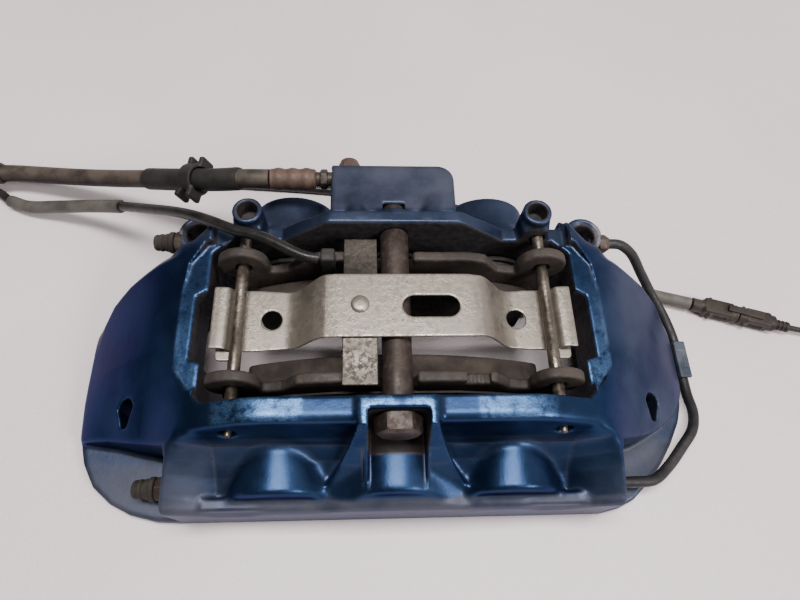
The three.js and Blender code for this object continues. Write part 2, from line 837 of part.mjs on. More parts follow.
function portFittings() {
  const { y, z, depth } = PORT;
  const x = -BLOCK.half;
  const neck = join(
    rod("x", y, z, 3.9, x - 8, x + depth - 1, 20),
    alongX(hexagon(9.6, y, z), x - 6, x - 2),
  );
  add("hose_port_fitting", "fittingSteel", neck);
  const ferrule = turnedPiece("x", [0, y, z], [
    [0, x - 33],
    [5.4, x - 33],
    [6, x - 32],
    [5.5, x - 27],
    [6, x - 22],
    [5.3, x - 18],
    [6, x - 14],
    [6, x - 9],
    [4.6, x - 8.3],
    [0, x - 8.3],
  ], 16);
  add("hose_ferrule", "fittingSteel", ferrule);
  const bolt = PORT_BOLT;
  const screw = join(
    rod("y", bolt.x, bolt.z, bolt.r, BLOCK.y1 - bolt.reach + 1, BLOCK.y1 + 2, 16),
    alongY(hexagon(10, bolt.x, bolt.z), BLOCK.y1 + CLEAR, BLOCK.y1 + 6.8),
  );
  add("hose_port_bolt", "fittingSteel", screw);
}

// Collar crimped on the far end of the hose, and the threaded fitting beyond it.
function hoseEnd() {
  const [x, y, z] = HOSE_ROUTE[HOSE_ROUTE.length - 1];
  const end = x - 2 * CLEAR;
  const collar = turnedPiece("x", [0, y, z], [
    [0, end - 25],
    [6.2, end - 25],
    [6.8, end - 23],
    [6.8, end - 2],
    [6.2, end],
    [0, end],
  ], 16);
  add("hose_end_collar", "fittingSteel", collar);
  const start = end - 25 - CLEAR;
  const fitting = join(
    alongX(hexagon(11, y, z), start - 7, start),
    rod("x", y, z, 3.9, start - 19, start - 6, 16),
  );
  add("hose_end_fitting", "fittingSteel", fitting);
}

// Two notched rubber plates joined by a ring, threaded on the hose over its sleeve.
function grommet() {
  const route = new THREE.CatmullRomCurve3(
    HOSE_ROUTE.map((p) => new THREE.Vector3(...p)),
    false,
    "centripetal",
  );
  const at = route.getPointAt(0.245);
  const along = route.getTangentAt(0.245);
  const side = new THREE.Vector3(0, 1, 0).addScaledVector(along, -along.y).normalize();
  const up = new THREE.Vector3().crossVectors(along, side);
  const turn = new THREE.Matrix4().makeBasis(up.negate(), side, along).setPosition(at);
  const inner = HOSE_D / 2 + 2.1;
  const place = (geometry) => solid(geometry.applyMatrix4(turn));
  const ears = shapeOf([
    [-6.2, -10.7],
    [-4, -13.2],
    [-1.6, -13.2],
    [-1.2, -12],
    [1.2, -12],
    [1.6, -13.2],
    [4, -13.2],
    [6.2, -10.7],
    [6.2, 10.7],
    [4, 13.2],
    [1.6, 13.2],
    [1.2, 12],
    [-1.2, 12],
    [-1.6, 13.2],
    [-4, 13.2],
    [-6.2, 10.7],
  ]);
  const plates = [-5.4, 2.4].map((z) => place(extrude(ears, 3).translate(0, 0, z)));
  const ring = place(new THREE.CylinderGeometry(9, 9, 6, 16).rotateX(Math.PI / 2));
  const bore = place(new THREE.CylinderGeometry(inner, inner, 30, 16).rotateX(Math.PI / 2));
  return cut(join(...plates, ring), bore);
}

function hose() {
  portFittings();
  add("brake_hose", "hoseRubber", tube(HOSE_ROUTE, HOSE_D, HOSE_STEPS, 12));
  const bore = tube(HOSE_ROUTE, HOSE_D + 2 * CLEAR, HOSE_STEPS, 12);
  add("hose_sleeve", "hoseRubber", cut(tube(HOSE_ROUTE.slice(1, 5), HOSE_D + 3.6, 5, 12), bore));
  add("hose_grommet", "sealRubber", grommet());
  hoseEnd();
}

// ---------------------------------------------------------------- wear sensor and its lead
const SENSOR = { x0: -36.5, x1: -29.5, y0: 22.8, y1: 30, z0: 60.6, z1: 81.4 };
const LEAD_ROUTE = [
  [SENSOR.x0 - 4 * CLEAR, 25.2, 78.6],
  [-42, 25.6, 79.2],
  [-47, 27.2, 79.6],
  [-53, 30.2, 79.8],
  [-65, 36.6, 79.4],
  [-79.5, 42, 77.6],
  [-96, 51, 73.4],
  [-112, 60.6, 64.5],
  [-134, 72.2, 50.5],
  [-157, 83.5, 36],
  [-180, 92, 23.5],
  [-205, 98.5, 13],
  [-228, 102.8, 6.5],
  [-241, 108.2, 4.3],
  [-251.5, 115.5, 4],
  [-267, 119.2, 3.6],
  [-290, 123, 3],
  [-308, 135, 3],
  [-314, 152, 3],
  [-309, 169, 3],
  [-295, 176, 3],
  [-281, 168, 3],
  [-276, 151, 3],
  [-267, 137, 3],
  [-251, 130, 3],
  [-230, 128.4, 3],
  [-205, 128.2, 3],
  [-180, 128, 3],
  [-150, 127, 3],
  [-100, 124, 3],
  [-50, 120.5, 3],
  [0, 115, 3],
  [50, 104, 3],
  [90, 84, 3],
  [120, 66, 3],
  [145, 50, 3.6],
  [161, 41.5, 4.4],
  [175, 37.5, 5.2],
  [187, 34.1, 5.6],
];
const LEAD_STEPS = 62;

function sensorLead() {
  const { x0, x1, y0, y1, z0, z1 } = SENSOR;
  const foot = box(x0, x1, y0, INBOARD_PLATE_Y - CLEAR, z0, z1 - 2);
  const head = box(x0, x1, y0, y1, z1 - 6.6, z1 - 2);
  const back = alongX(
    shapeOf([
      [y0, z1 - 2.6],
      [y1, z1 - 2.6],
      [y1 - 2, z1],
      [y0 + 2, z1],
    ]),
    x0 + 1,
    x1 - 1,
  );
  add("wear_sensor", "leadPlastic", join(foot, head, back));
  add("sensor_lead", "leadPlastic", tube(LEAD_ROUTE, LEAD_D, LEAD_STEPS, 8));
  const bore = tube(LEAD_ROUTE, LEAD_D + 2 * CLEAR, LEAD_STEPS, 8);
  const sheath = (from, to, steps) =>
    cut(tube(LEAD_ROUTE.slice(from, to), LEAD_D + 2.2, steps, 8), bore);
  add("lead_sheath_left", "sheathPlastic", sheath(9, 14, 8));
  add("lead_sheath_right", "sheathPlastic", sheath(36, 39, 3));
}

// The lead's two-part connector and the thin tail beyond it.
const CONNECTOR = { x: 187.9, y: 33.9, z: 5.6, angle: -15.7 };
const TAIL_ROUTE = [
  [60.6, 0, 0],
  [72, 1, -0.6],
  [88, 5, -2.6],
  [104, 6, -3.2],
  [120, 2, -3.2],
];

function connector() {
  const { x, y, z, angle } = CONNECTOR;
  const place = (part) => part.rotate([0, 0, angle]).translate([x, y, z]);
  const socket = join(
    rod("x", 0, 0, 4, 0, 8, 12),
    box(7, 25, -4.8, 4.8, -4.6, 4.8),
    rod("x", 0, 0, 5.5, 24, 28, 16),
  );
  const plug = join(
    rod("x", 0, 0, 5.3, 28.3, 34, 16),
    box(33, 48, -4.5, 4.5, -4.4, 4.4),
    rod("x", 0, 0, 4.8, 47, 51, 16),
    rod("x", 0, 0, 3.2, 50, 60, 12),
    box(30, 42, -2, 2, 3, 6.4),
    box(20, 33, -2, 2, 5.8, 7),
  );
  add("connector_socket", "connectorPlastic", place(socket));
  add("connector_plug", "connectorPlastic", place(plug));
  add("connector_tail", "leadPlastic", place(tube(TAIL_ROUTE, TAIL_D, 7, 8)));
  const end = TAIL_ROUTE[TAIL_ROUTE.length - 1];
  const terminal = join(
    rod("x", end[1], end[2] + 1, 3, end[0] + 2 * CLEAR, end[0] + 6, 12),
    box(end[0] + 5, end[0] + 17, end[1] - 3.4, end[1] + 3.4, end[2] - 1.8, end[2] + 4.2),
  );
  add("tail_terminal", "connectorPlastic", place(terminal));
}

// ---------------------------------------------------------------- assembly
add("caliper_body", "bluePaint", caliperBody());
SIDES.forEach(pistonSet);
pads();
add("left_pad_pin", "pinSteel", padPin(-1));
add("right_pad_pin", "pinSteel", padPin(1));
add("tie_bolt", "boltSteel", tieBolt());
add("spacer_sleeve", "boltSteel", spacerSleeve());
add("cross_spring", "springSteel", crossSpring());
add("spring_strap", "springSteel", springStrap());
add("spring_rivet", "springSteel", springRivet());
bleeder("outboard", BLEED_LOW);
bleeder("inboard", BLEED_HIGH);
crossover();
hose();
sensorLead();
connector();

export default caliper;
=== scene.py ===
"""Looks of the brake caliper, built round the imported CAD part.

Shapes are drawn in millimetres in the drawing frame of the CAD source (its origin is the middle of
the disc slot) and moved to the row frame by OFFSET. Cast and bent pieces are signed distance
fields on a grid, meshed once and baked into plain meshes.
"""

import math

import bmesh
import bpy
import numpy as np
import openvdb
from mathutils import Matrix, Vector


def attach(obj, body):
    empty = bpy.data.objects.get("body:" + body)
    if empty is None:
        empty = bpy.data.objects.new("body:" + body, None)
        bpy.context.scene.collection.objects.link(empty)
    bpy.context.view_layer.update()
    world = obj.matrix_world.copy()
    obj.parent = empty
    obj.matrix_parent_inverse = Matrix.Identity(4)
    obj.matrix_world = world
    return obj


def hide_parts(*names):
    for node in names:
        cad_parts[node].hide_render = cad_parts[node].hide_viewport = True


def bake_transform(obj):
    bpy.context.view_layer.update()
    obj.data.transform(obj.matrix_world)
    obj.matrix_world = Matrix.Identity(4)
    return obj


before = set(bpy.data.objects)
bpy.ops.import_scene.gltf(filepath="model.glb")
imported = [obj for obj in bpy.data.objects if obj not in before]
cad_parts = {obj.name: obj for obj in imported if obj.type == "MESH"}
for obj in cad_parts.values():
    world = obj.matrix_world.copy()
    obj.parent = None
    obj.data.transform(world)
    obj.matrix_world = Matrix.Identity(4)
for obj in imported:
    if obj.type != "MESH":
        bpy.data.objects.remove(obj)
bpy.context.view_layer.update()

OFFSET = np.array([3.0, 2.4, 0.0])
AXLE_Z = -120.0
ARCH_R = 212.0
CYLINDERS = [(-56, 26, 17), (0, 33, 18), (56, 26, 19)]
PIN_X, PIN_Z, PIN_R = 76.0, 66.0, 3.0
BOLT_Z = 70.0
LUG_Y = 57.5
LUG_X = {-1: -106.2, 1: 108.8}
POST_X, POST_Y = 74.0, 52.5
HOLE_X, HOLE_Y = 133, -37.3
PORT_Y, PORT_Z = 80.6, 67.5


def metres(points):
    """Drawing millimetres to row-frame metres."""
    return (np.asarray(points, float) - OFFSET) / 1000


# ---- camera
# Fitted to the photograph: the place in drawing millimetres, and the picture's own directions.
CAMERA_PLACE = (-13.943, -116.615, 332.995)
CAMERA_RIGHT = (0.99846497, -0.02599775, 0.04890622)
CAMERA_UP = (0.00274168, 0.90511025, 0.4251681)
LENS, SENSOR = 26.714, 36


def make_camera():
    right, up = Vector(CAMERA_RIGHT), Vector(CAMERA_UP)
    data = bpy.data.cameras.new("camera")
    data.sensor_width = SENSOR
    data.lens = LENS
    cam = bpy.data.objects.new("camera", data)
    turn = Matrix((right, up, right.cross(up))).transposed().to_4x4()
    cam.matrix_world = Matrix.Translation(metres(CAMERA_PLACE)) @ turn
    bpy.context.scene.collection.objects.link(cam)
    bpy.context.scene.camera = cam


# ---- distance fields
FAR = 1e9
EMPTY = 6.0  # distance that an empty field starts with, in millimetres
BAND_STEPS = 3.0  # distances are kept this many grid steps either side of the surface
OTHERS = ((1, 2), (0, 2), (0, 1))  # the two axes across each axis


def smin(a, b, k):
    if k <= 0:
        return np.minimum(a, b)
    h = np.clip(0.5 + 0.5 * (b - a) / k, 0, 1)
    return b + (a - b) * h - k * h * (1 - h)


def smax(a, b, k):
    return -smin(-a, -b, k)


def polyline(u, v, points):
    """Distance in the plane to an open line through the points."""
    p = np.asarray(points, np.float32)
    d = np.full(np.broadcast(u, v).shape, FAR, np.float32)
    for (ax, ay), (bx, by) in zip(p[:-1], p[1:]):
        ex, ey = bx - ax, by - ay
        wx, wy = u - ax, v - ay
        t = np.clip((wx * ex + wy * ey) / (ex * ex + ey * ey), 0, 1)
        d = np.minimum(d, (wx - ex * t) ** 2 + (wy - ey * t) ** 2)
    return np.sqrt(d)


def polygon(u, v, points):
    """Signed distance in the plane to a closed polygon, negative inside."""
    p = np.asarray(points, np.float32)
    inside = np.zeros(np.broadcast(u, v).shape, bool)
    for (ax, ay), (bx, by) in zip(p, np.roll(p, -1, axis=0)):
        inside ^= ((ay > v) != (by > v)) & (u < (bx - ax) * (v - ay) / (by - ay + 1e-12) + ax)
    d = polyline(u, v, [*points, points[0]])
    return np.where(inside, -d, d)


def ramp(v, a, b):
    t = np.clip((v - a) / (b - a), 0, 1)
    return t * t * (3 - 2 * t)


def slab(u, a, b):
    return np.maximum(a - u, u - b)


def box3(x, y, z, lo, hi, r=0.0):
    """Distance to a box with rounded edges."""
    c = [(a + b) / 2 for a, b in zip(lo, hi)]
    h = [(b - a) / 2 - r for a, b in zip(lo, hi)]
    q = [np.abs(w - ci) - hi_ for w, ci, hi_ in zip((x, y, z), c, h)]
    out = np.sqrt(sum(np.maximum(w, 0) ** 2 for w in q))
    return out + np.minimum(np.maximum(np.maximum(q[0], q[1]), q[2]), 0) - r


def cylinder(u, v, w, cu, cv, r, a, b, k=0.0):
    """Round bar along w between a and b; k rounds its rims."""
    return smax(np.hypot(u - cu, v - cv) - r, slab(w, a, b), k)


def capsule(x, y, z, a, b, r):
    a, b = np.asarray(a, float), np.asarray(b, float)
    e = b - a
    t = np.clip(((x - a[0]) * e[0] + (y - a[1]) * e[1] + (z - a[2]) * e[2]) / (e @ e), 0, 1)
    return np.sqrt(
        (x - a[0] - e[0] * t) ** 2 + (y - a[1] - e[1] * t) ** 2 + (z - a[2] - e[2] * t) ** 2
    ) - r


class Field:
    """A signed distance field on a grid, in drawing millimetres."""

    def __init__(self, lo, hi, step):
        self.lo, self.step = np.asarray(lo, float), step
        self.axes = [np.arange(a, b + step, step, dtype=np.float32) for a, b in zip(lo, hi)]
        self.d = np.full([len(a) for a in self.axes], EMPTY, np.float32)

    def grid(self, lo=None, hi=None):
        """Slices and broadcastable coordinates of the block between two corners."""
        cuts = []
        for i, axis in enumerate(self.axes):
            a = 0 if lo is None else int(np.searchsorted(axis, lo[i]))
            b = len(axis) if hi is None else int(np.searchsorted(axis, hi[i]))
            cuts.append(slice(a, b))
        x, y, z = (axis[c] for axis, c in zip(self.axes, cuts))
        return tuple(cuts), (x[:, None, None], y[None, :, None], z[None, None, :])

    def add(self, shape, lo=None, hi=None, k=0.0):
        cuts, at = self.grid(lo, hi)
        self.d[cuts] = smin(self.d[cuts], shape(*at), k)

    def cut(self, shape, lo=None, hi=None, k=0.0):
        cuts, at = self.grid(lo, hi)
        self.d[cuts] = smax(self.d[cuts], -shape(*at), k)

    def box(self, lo, hi, r=0.0, near=(None, None), k=0.0):
        """Adds a box with rounded edges."""
        self.add(lambda x, y, z: box3(x, y, z, lo, hi, r), *near, k=k)

    def bar(self, axis, centre, r, a, b, rim=0.0, near=(None, None), k=0.0):
        """Adds a round bar along an axis."""
        i = "xyz".index(axis)
        u, v = OTHERS[i]
        self.add(lambda *at: cylinder(at[u], at[v], at[i], *centre, r, a, b, rim), *near, k=k)

    def mesh(self, name):
        grid = openvdb.FloatGrid(background=BAND_STEPS)
        grid.copyFromArray(np.clip(self.d / self.step, -BAND_STEPS, BAND_STEPS).astype(np.float32))
        points, triangles, quads = grid.convertToPolygons(isovalue=0.0, adaptivity=0.0)
        points = metres(points * self.step + self.lo)
        return mesh_object(name, points, quads.tolist() + triangles.tolist())


def mesh_object(name, points, faces):
    data = bpy.data.meshes.new(name)
    data.from_pydata([tuple(p) for p in np.asarray(points, float)], [], faces)
    data.validate()
    data.shade_smooth()
    obj = bpy.data.objects.new(name, data)
    bpy.context.scene.collection.objects.link(obj)
    return obj


def paint(obj, name, values):
    """Stores one number per vertex for a material to read."""
    attribute = obj.data.attributes.new(name, "FLOAT", "POINT")
    attribute.data.foreach_set("value", np.asarray(values, np.float32))


def vertices(obj):
    co = np.zeros(len(obj.data.vertices) * 3, np.float32)
    obj.data.vertices.foreach_get("co", co)
    return co.reshape(-1, 3) * 1000 + OFFSET


def place_vertices(obj, points):
    """Moves the vertices to points in drawing millimetres."""
    obj.data.vertices.foreach_set("co", metres(points).astype(np.float32).ravel())
    obj.data.update()


def normals(obj):
    n = np.zeros(len(obj.data.vertices) * 3, np.float32)
    obj.data.vertices.foreach_get("normal", n)
    return n.reshape(-1, 3)


# ---- materials
class Nodes:
    """Short names for building a material's node tree."""

    def __init__(self, name):
        self.material = bpy.data.materials.new(name)
        self.material.use_nodes = True
        self.tree = self.material.node_tree
        self.shader = self.tree.nodes["Principled BSDF"]
        self.place = self.new("ShaderNodeTexCoord").outputs["Object"]

    def feed(self, socket, value):
        """Links a socket to an input, or sets the input to a number or a colour."""
        if isinstance(value, bpy.types.NodeSocket):
            self.tree.links.new(value, socket)
        else:
            socket.default_value = (*value, 1) if isinstance(value, tuple) else value

    def new(self, kind, inputs=None, **settings):
        node = self.tree.nodes.new(kind)
        for key, value in settings.items():
            setattr(node, key, value)
        for key, value in (inputs or {}).items():
            self.feed(node.inputs[key], value)
        return node

    def noise(self, scale, detail):
        inputs = {"Scale": scale, "Detail": detail, "Roughness": 0.6, "Vector": self.place}
        return self.new("ShaderNodeTexNoise", inputs).outputs["Fac"]

    def range(self, source, a, b, low=0.0, high=1.0):
        inputs = {"Value": source, "From Min": a, "From Max": b, "To Min": low, "To Max": high}
        return self.new("ShaderNodeMapRange", inputs, interpolation_type="SMOOTHSTEP").outputs["Result"]

    def attribute(self, name):
        return self.new("ShaderNodeAttribute", attribute_name=name).outputs["Fac"]

    def math(self, operation, a, b):
        return self.new("ShaderNodeMath", {0: a, 1: b}, operation=operation).outputs[0]

    def mix(self, factor, a, b):
        """Mixes two colours; each is a colour or a socket."""
        return self.new("ShaderNodeMix", {"Factor": factor, 6: a, 7: b}, data_type="RGBA").outputs[2]

    def bump(self, *layers):
        """Layers of (height, strength, distance in metres)."""
        under = {}
        for height, strength, distance in layers:
            inputs = {"Height": height, "Strength": strength, "Distance": distance, **under}
            under = {"Normal": self.new("ShaderNodeBump", inputs).outputs["Normal"]}
        self.set(**under)

    def set(self, **values):
        for key, value in values.items():
            self.feed(self.shader.inputs[key.replace("_", " ")], value)


def blue_paint():
    n = Nodes("blue_paint")
    wide, fine, grit = n.noise(28, 5), n.noise(260, 4), n.noise(1500, 2)
    wear, dust, raw_and_shade = n.attribute("wear"), n.attribute("dust"), n.attribute("raw_and_shade")
    base = n.mix(n.range(wide, 0.3, 0.7), (0.01, 0.026, 0.07), (0.018, 0.046, 0.115))
    ragged = n.math("MULTIPLY", wear, n.range(fine, 0.32, 0.56))
    worn = n.mix(n.range(grit, 0.35, 0.65), (0.04, 0.1, 0.23), (0.1, 0.2, 0.38))
    base = n.mix(ragged, base, worn)
    dusty = n.math("MULTIPLY", dust, n.range(wide, 0.25, 0.7, 0.45, 1.0))
    grey = n.mix(n.range(dust, 0.8, 0.97), (0.1, 0.096, 0.1), (0.27, 0.26, 0.27))
    base = n.mix(dusty, base, grey)
    speck = n.range(n.noise(420, 3), 0.66, 0.72, 0.0, 0.45)
    base = n.mix(speck, base, (0.05, 0.045, 0.045))
    brown = n.mix(n.range(fine, 0.3, 0.7), (0.035, 0.028, 0.024), (0.085, 0.068, 0.055))
    # Where this mask is near 1 the brown goes darkest. This is painted shade in the deep seat of the
    # tie bolt's head, and the same tone is used on the bare faces of the disc slot.
    brown = n.mix(n.range(raw_and_shade, 0.82, 0.95), brown, (0.03, 0.024, 0.02))
    base = n.mix(raw_and_shade, base, brown)
    rough = n.math("ADD", n.range(wide, 0.3, 0.75, 0.27, 0.4), n.math("MULTIPLY", dusty, 0.22))
    rough = n.math("ADD", rough, n.math("MULTIPLY", raw_and_shade, 0.3))
    metal = n.math("SUBTRACT", 0.88, n.math("MULTIPLY", n.math("MAXIMUM", dusty, raw_and_shade), 0.7))
    n.set(Base_Color=base, Roughness=rough, Metallic=metal, Coat_Weight=0.05, Coat_Roughness=0.2)
    n.set(Specular_IOR_Level=0.3, Specular_Tint=(0.12, 0.2, 0.42))
    n.bump((grit, 0.12, 0.0003), (fine, 0.16, 0.0006), (wide, 0.12, 0.0012))
    return n.material


def worn_metal(name, light, dark, metal, rough, rust, rust_colour=(0.1, 0.05, 0.028), scale=1.0):
    """Bare or rusty steel with patches, specks and a fine grain."""
    n = Nodes(name)
    wide, fine, grit = n.noise(45 * scale, 5), n.noise(300 * scale, 5), n.noise(1400 * scale, 2)
    base = n.mix(n.range(wide, 0.35, 0.65), dark, light)
    patches = n.math("MULTIPLY", n.range(fine, 0.46, 0.64), n.range(wide, 0.42, 0.6, 0.15, 1.0))
    rusty = n.math("MULTIPLY", patches, rust)
    base = n.mix(rusty, base, rust_colour)
    specks = n.range(n.noise(700 * scale, 3), 0.63, 0.7, 0.0, 0.85)
    base = n.mix(n.math("MULTIPLY", specks, n.range(wide, 0.4, 0.62)), base, (0.025, 0.02, 0.017))
    metallic = n.math("SUBTRACT", metal, n.math("MULTIPLY", rusty, metal * 0.8))
    grain = n.range(fine, 0.3, 0.7, rough - 0.07, rough + 0.1)
    roughness = n.math("ADD", grain, n.math("MULTIPLY", rusty, 0.25))
    n.set(Base_Color=base, Roughness=roughness, Metallic=metallic)
    n.bump((grit, 0.15, 0.0002), (patches, 0.25, 0.0003))
    return n.material


def dull(name, light, dark, rough, grain, bump, dust=(0.2, 0.18, 0.16), dusty=0.35):
    """Rubber, plastic or friction material with dust lying on what faces up."""
    n = Nodes(name)
    wide, fine = n.noise(60, 5), n.noise(grain, 4)
    base = n.mix(n.range(wide, 0.3, 0.7), dark, light)
    normal = n.new("ShaderNodeNewGeometry").outputs["Normal"]
    up = n.new("ShaderNodeSeparateXYZ", {"Vector": normal}).outputs["Z"]
    lying = n.math("MULTIPLY", n.range(up, 0.1, 1.0), n.range(wide, 0.35, 0.65, 0.2, 1.0))
    base = n.mix(n.math("MULTIPLY", lying, dusty), base, dust)
    n.set(Base_Color=base, Roughness=n.range(fine, 0.3, 0.7, rough - 0.08, rough + 0.08), Metallic=0.0)
    n.set(Specular_IOR_Level=0.3)
    n.bump((fine, bump, 0.0004), (wide, bump * 0.6, 0.0012))
    return n.material


# Light and dark colour, metallic, roughness, share of rust, rust's colour, scale of the patches.
WORN_METALS = {
    "piston": ((0.3, 0.29, 0.27), (0.22, 0.21, 0.19), 0.9, 0.3, 0.2),
    "plate": ((0.06, 0.049, 0.042), (0.03, 0.025, 0.022), 0.25, 0.62, 0.6, (0.075, 0.05, 0.035)),
    "pin": ((0.21, 0.18, 0.145), (0.11, 0.09, 0.072), 0.85, 0.33, 0.75, (0.05, 0.034, 0.024)),
    "spring": ((0.35, 0.315, 0.265), (0.3, 0.267, 0.225), 0.75, 0.38, 0.3, (0.07, 0.05, 0.035)),
    "strap": ((0.11, 0.095, 0.078), (0.06, 0.052, 0.042), 0.7, 0.4, 0.8, (0.04, 0.032, 0.026), 1.5),
    "bolt": ((0.06, 0.045, 0.038), (0.032, 0.024, 0.021), 0.45, 0.48, 0.6, (0.065, 0.038, 0.027)),
    "fitting": ((0.08, 0.06, 0.048), (0.04, 0.031, 0.026), 0.4, 0.52, 0.7, (0.08, 0.047, 0.032)),
    "pipe": ((0.028, 0.028, 0.028), (0.014, 0.014, 0.0145), 0.3, 0.48, 0.35, (0.045, 0.036, 0.03)),
    "ferrule": ((0.13, 0.085, 0.065), (0.07, 0.045, 0.035), 0.3, 0.6, 0.6, (0.16, 0.09, 0.06)),
}
# Light and dark colour, roughness, scale and depth of the grain, dust's colour and share.
DULL_SKINS = {
    "friction": ((0.04, 0.032, 0.027), (0.02, 0.017, 0.016), 0.9, 900, 0.6, (0.075, 0.058, 0.046), 0.6),
    "hose": ((0.035, 0.029, 0.026), (0.017, 0.015, 0.014), 0.55, 700, 0.35, (0.16, 0.125, 0.095), 0.5),
    "lead": ((0.016, 0.015, 0.015), (0.007, 0.007, 0.007), 0.34, 600, 0.15, (0.06, 0.055, 0.05), 0.3),
    "sheath": ((0.1, 0.096, 0.082), (0.055, 0.052, 0.045), 0.5, 600, 0.3),
    "cap": ((0.045, 0.037, 0.032), (0.022, 0.019, 0.017), 0.75, 600, 0.4, (0.09, 0.075, 0.062), 0.5),
    "clip": ((0.06, 0.075, 0.1), (0.03, 0.04, 0.06), 0.4, 500, 0.2, (0.14, 0.15, 0.17), 0.4),
    "rubber": ((0.02, 0.019, 0.018), (0.01, 0.0095, 0.009), 0.6, 600, 0.25, (0.05, 0.045, 0.04), 0.4),
    "plastic": ((0.032, 0.025, 0.019), (0.015, 0.012, 0.01), 0.5, 500, 0.3, (0.07, 0.057, 0.044), 0.4),
}
MATS = {}


def make_materials():
    MATS["blue"] = blue_paint()
    for look, values in WORN_METALS.items():
        MATS[look] = worn_metal(f"{look}_metal", *values)
    for look, values in DULL_SKINS.items():
        MATS[look] = dull(f"{look}_skin", *values)


# ---- caliper body
BACK = [(160, 30), (146, 38), (124, 44), (104, 46), (96, 52), (88, 62)]
PLAN_RIGHT = [
    (110, -88), (119, -86), (128, -82), (138, -73.5), (147, -64), (155, -53), (162, -41),
    (166.7, -30), (168.2, -20), (168.2, 6), (165.7, 19), *BACK,
]
PLAN_LEFT = [
    (110, -88), (122, -87.3), (135, -84), (146, -78.5), (156, -70), (163, -58), (167.5, -45),
    (170, -27), (170, 6), (167.5, 19), *BACK,
]
WINDOW = [
    (88, -44), (92.5, -40), (92.5, -23), (98, -21), (98, 12), (92.5, 15), (92.5, 36), (84, 44),
]
BEVEL = [(90, -30), (94, -37.5), (97, -36), (105, -25), (105.5, 14), (103, 30), (95, 41), (88, 41)]
POCKET_INNER = [(109.5, -104), (109.5, -84), (105.5, -65), (107, -59.8)]
POCKET = {
    1: [
        *POCKET_INNER, (130, -53.6), (140, -48.5), (151, -41.8), (159, -33), (164.5, -25), (178, -18),
        (178, -104),
    ],
    -1: [*POCKET_INNER, (120, -56.5), (132, -54), (144, -51), (158, -49), (178, -47), (178, -104)],
}
HOLLOW = {
    1: [(114, -46), (132, -46), (148, -35.5), (156, -26), (156, 13), (114, 31)],
    -1: [(114, -46), (140, -45), (159, -41), (159, 13), (114, 31)],
}
# Floors of the two recesses in front of the outboard rail, and how their height falls forwards.
RECESSES = (
    [(-86, -59), (-20, -57.5), (-36, -88), (-85, -88)],
    [(18, -57.5), (84, -59), (83, -88), (36, -88)],
)
FALL_Y = (-84, -80, -72, -66, -60, -57)
FALL_INNER = (40, 41, 43.5, 46.5, 53, 60)
FALL_OUTER = (33, 34, 39, 45, 53, 60)
DOME_Y = (-84, -76, -68, -62, -57)
DOME_R = (25, 24, 20.5, 15, 11)
DOME_TOP = 55
BUTTRESS_Y = (-84, -80, -75, -69.5, -64, -57.5)
BUTTRESS_TOP = (38, 42, 47.5, 55, 66, 84)
# Boxes round the worn tops of the rail, and how worn they are.
WORN_PADS = (
    ((-82, -57, 73), (-42, -44, 84), 0.95),
    ((35, -57, 80.5), (77, -44, 84), 0.8),
    ((-18, -57, 82.6), (-1, -44, 86), 1.0),
    ((3, -57, 82.6), (16, -44, 86), 0.95),
)
# Boxes round dusty level faces, the softness of their borders and how dusty they are.
DUSTY_TOPS = (
    ((-34, 58, 70), (34, 88, 76), 1.5, 0.25),
    ((-94, -87, 38), (94, -81.5, 43), 1.5, 0.5),
    ((-175, -95, -2), (-108, -50, 20), 3, 0.4),
    ((108, -95, -2), (175, -50, 20), 3, 0.4),
)


def mirrored(points):
    return [(-x, y) for x, y in reversed(points)]


def both(points):
    return points + mirrored(points)


def slope_height(y):
    """Height of the sloped fairing of the outboard half."""
    return np.where(y > -84, 70 + (y + 58) * 25 / 26, 45 + (y + 84) * 0.45)


def body_envelope(f):
    _, (x, y, z) = f.grid()
    plan = polygon(x, y, PLAN_RIGHT + mirrored(PLAN_LEFT))
    fold = np.maximum(0, -4 - 0.08 * np.abs(x) - y) * ramp(np.abs(x), 92, 122)
    radius = ARCH_R - 0.17 * fold * (1 - 0.85 * ramp(np.abs(x), 138, 166))
    band = np.maximum(0, plan + 8.5) * ramp(y, 10, 20) * ramp(np.abs(x), 110, 120)
    arch = np.hypot(x, z - AXLE_Z) - radius + 0.7 * band
    arch = smax(arch, z - 82, 2.0)
    arch = smax(arch, np.maximum(x - 168.2, -170 - x), 3.0)
    f.d = smax(arch, plan, 6.0).astype(np.float32)
    f.d = np.maximum(f.d, -z)


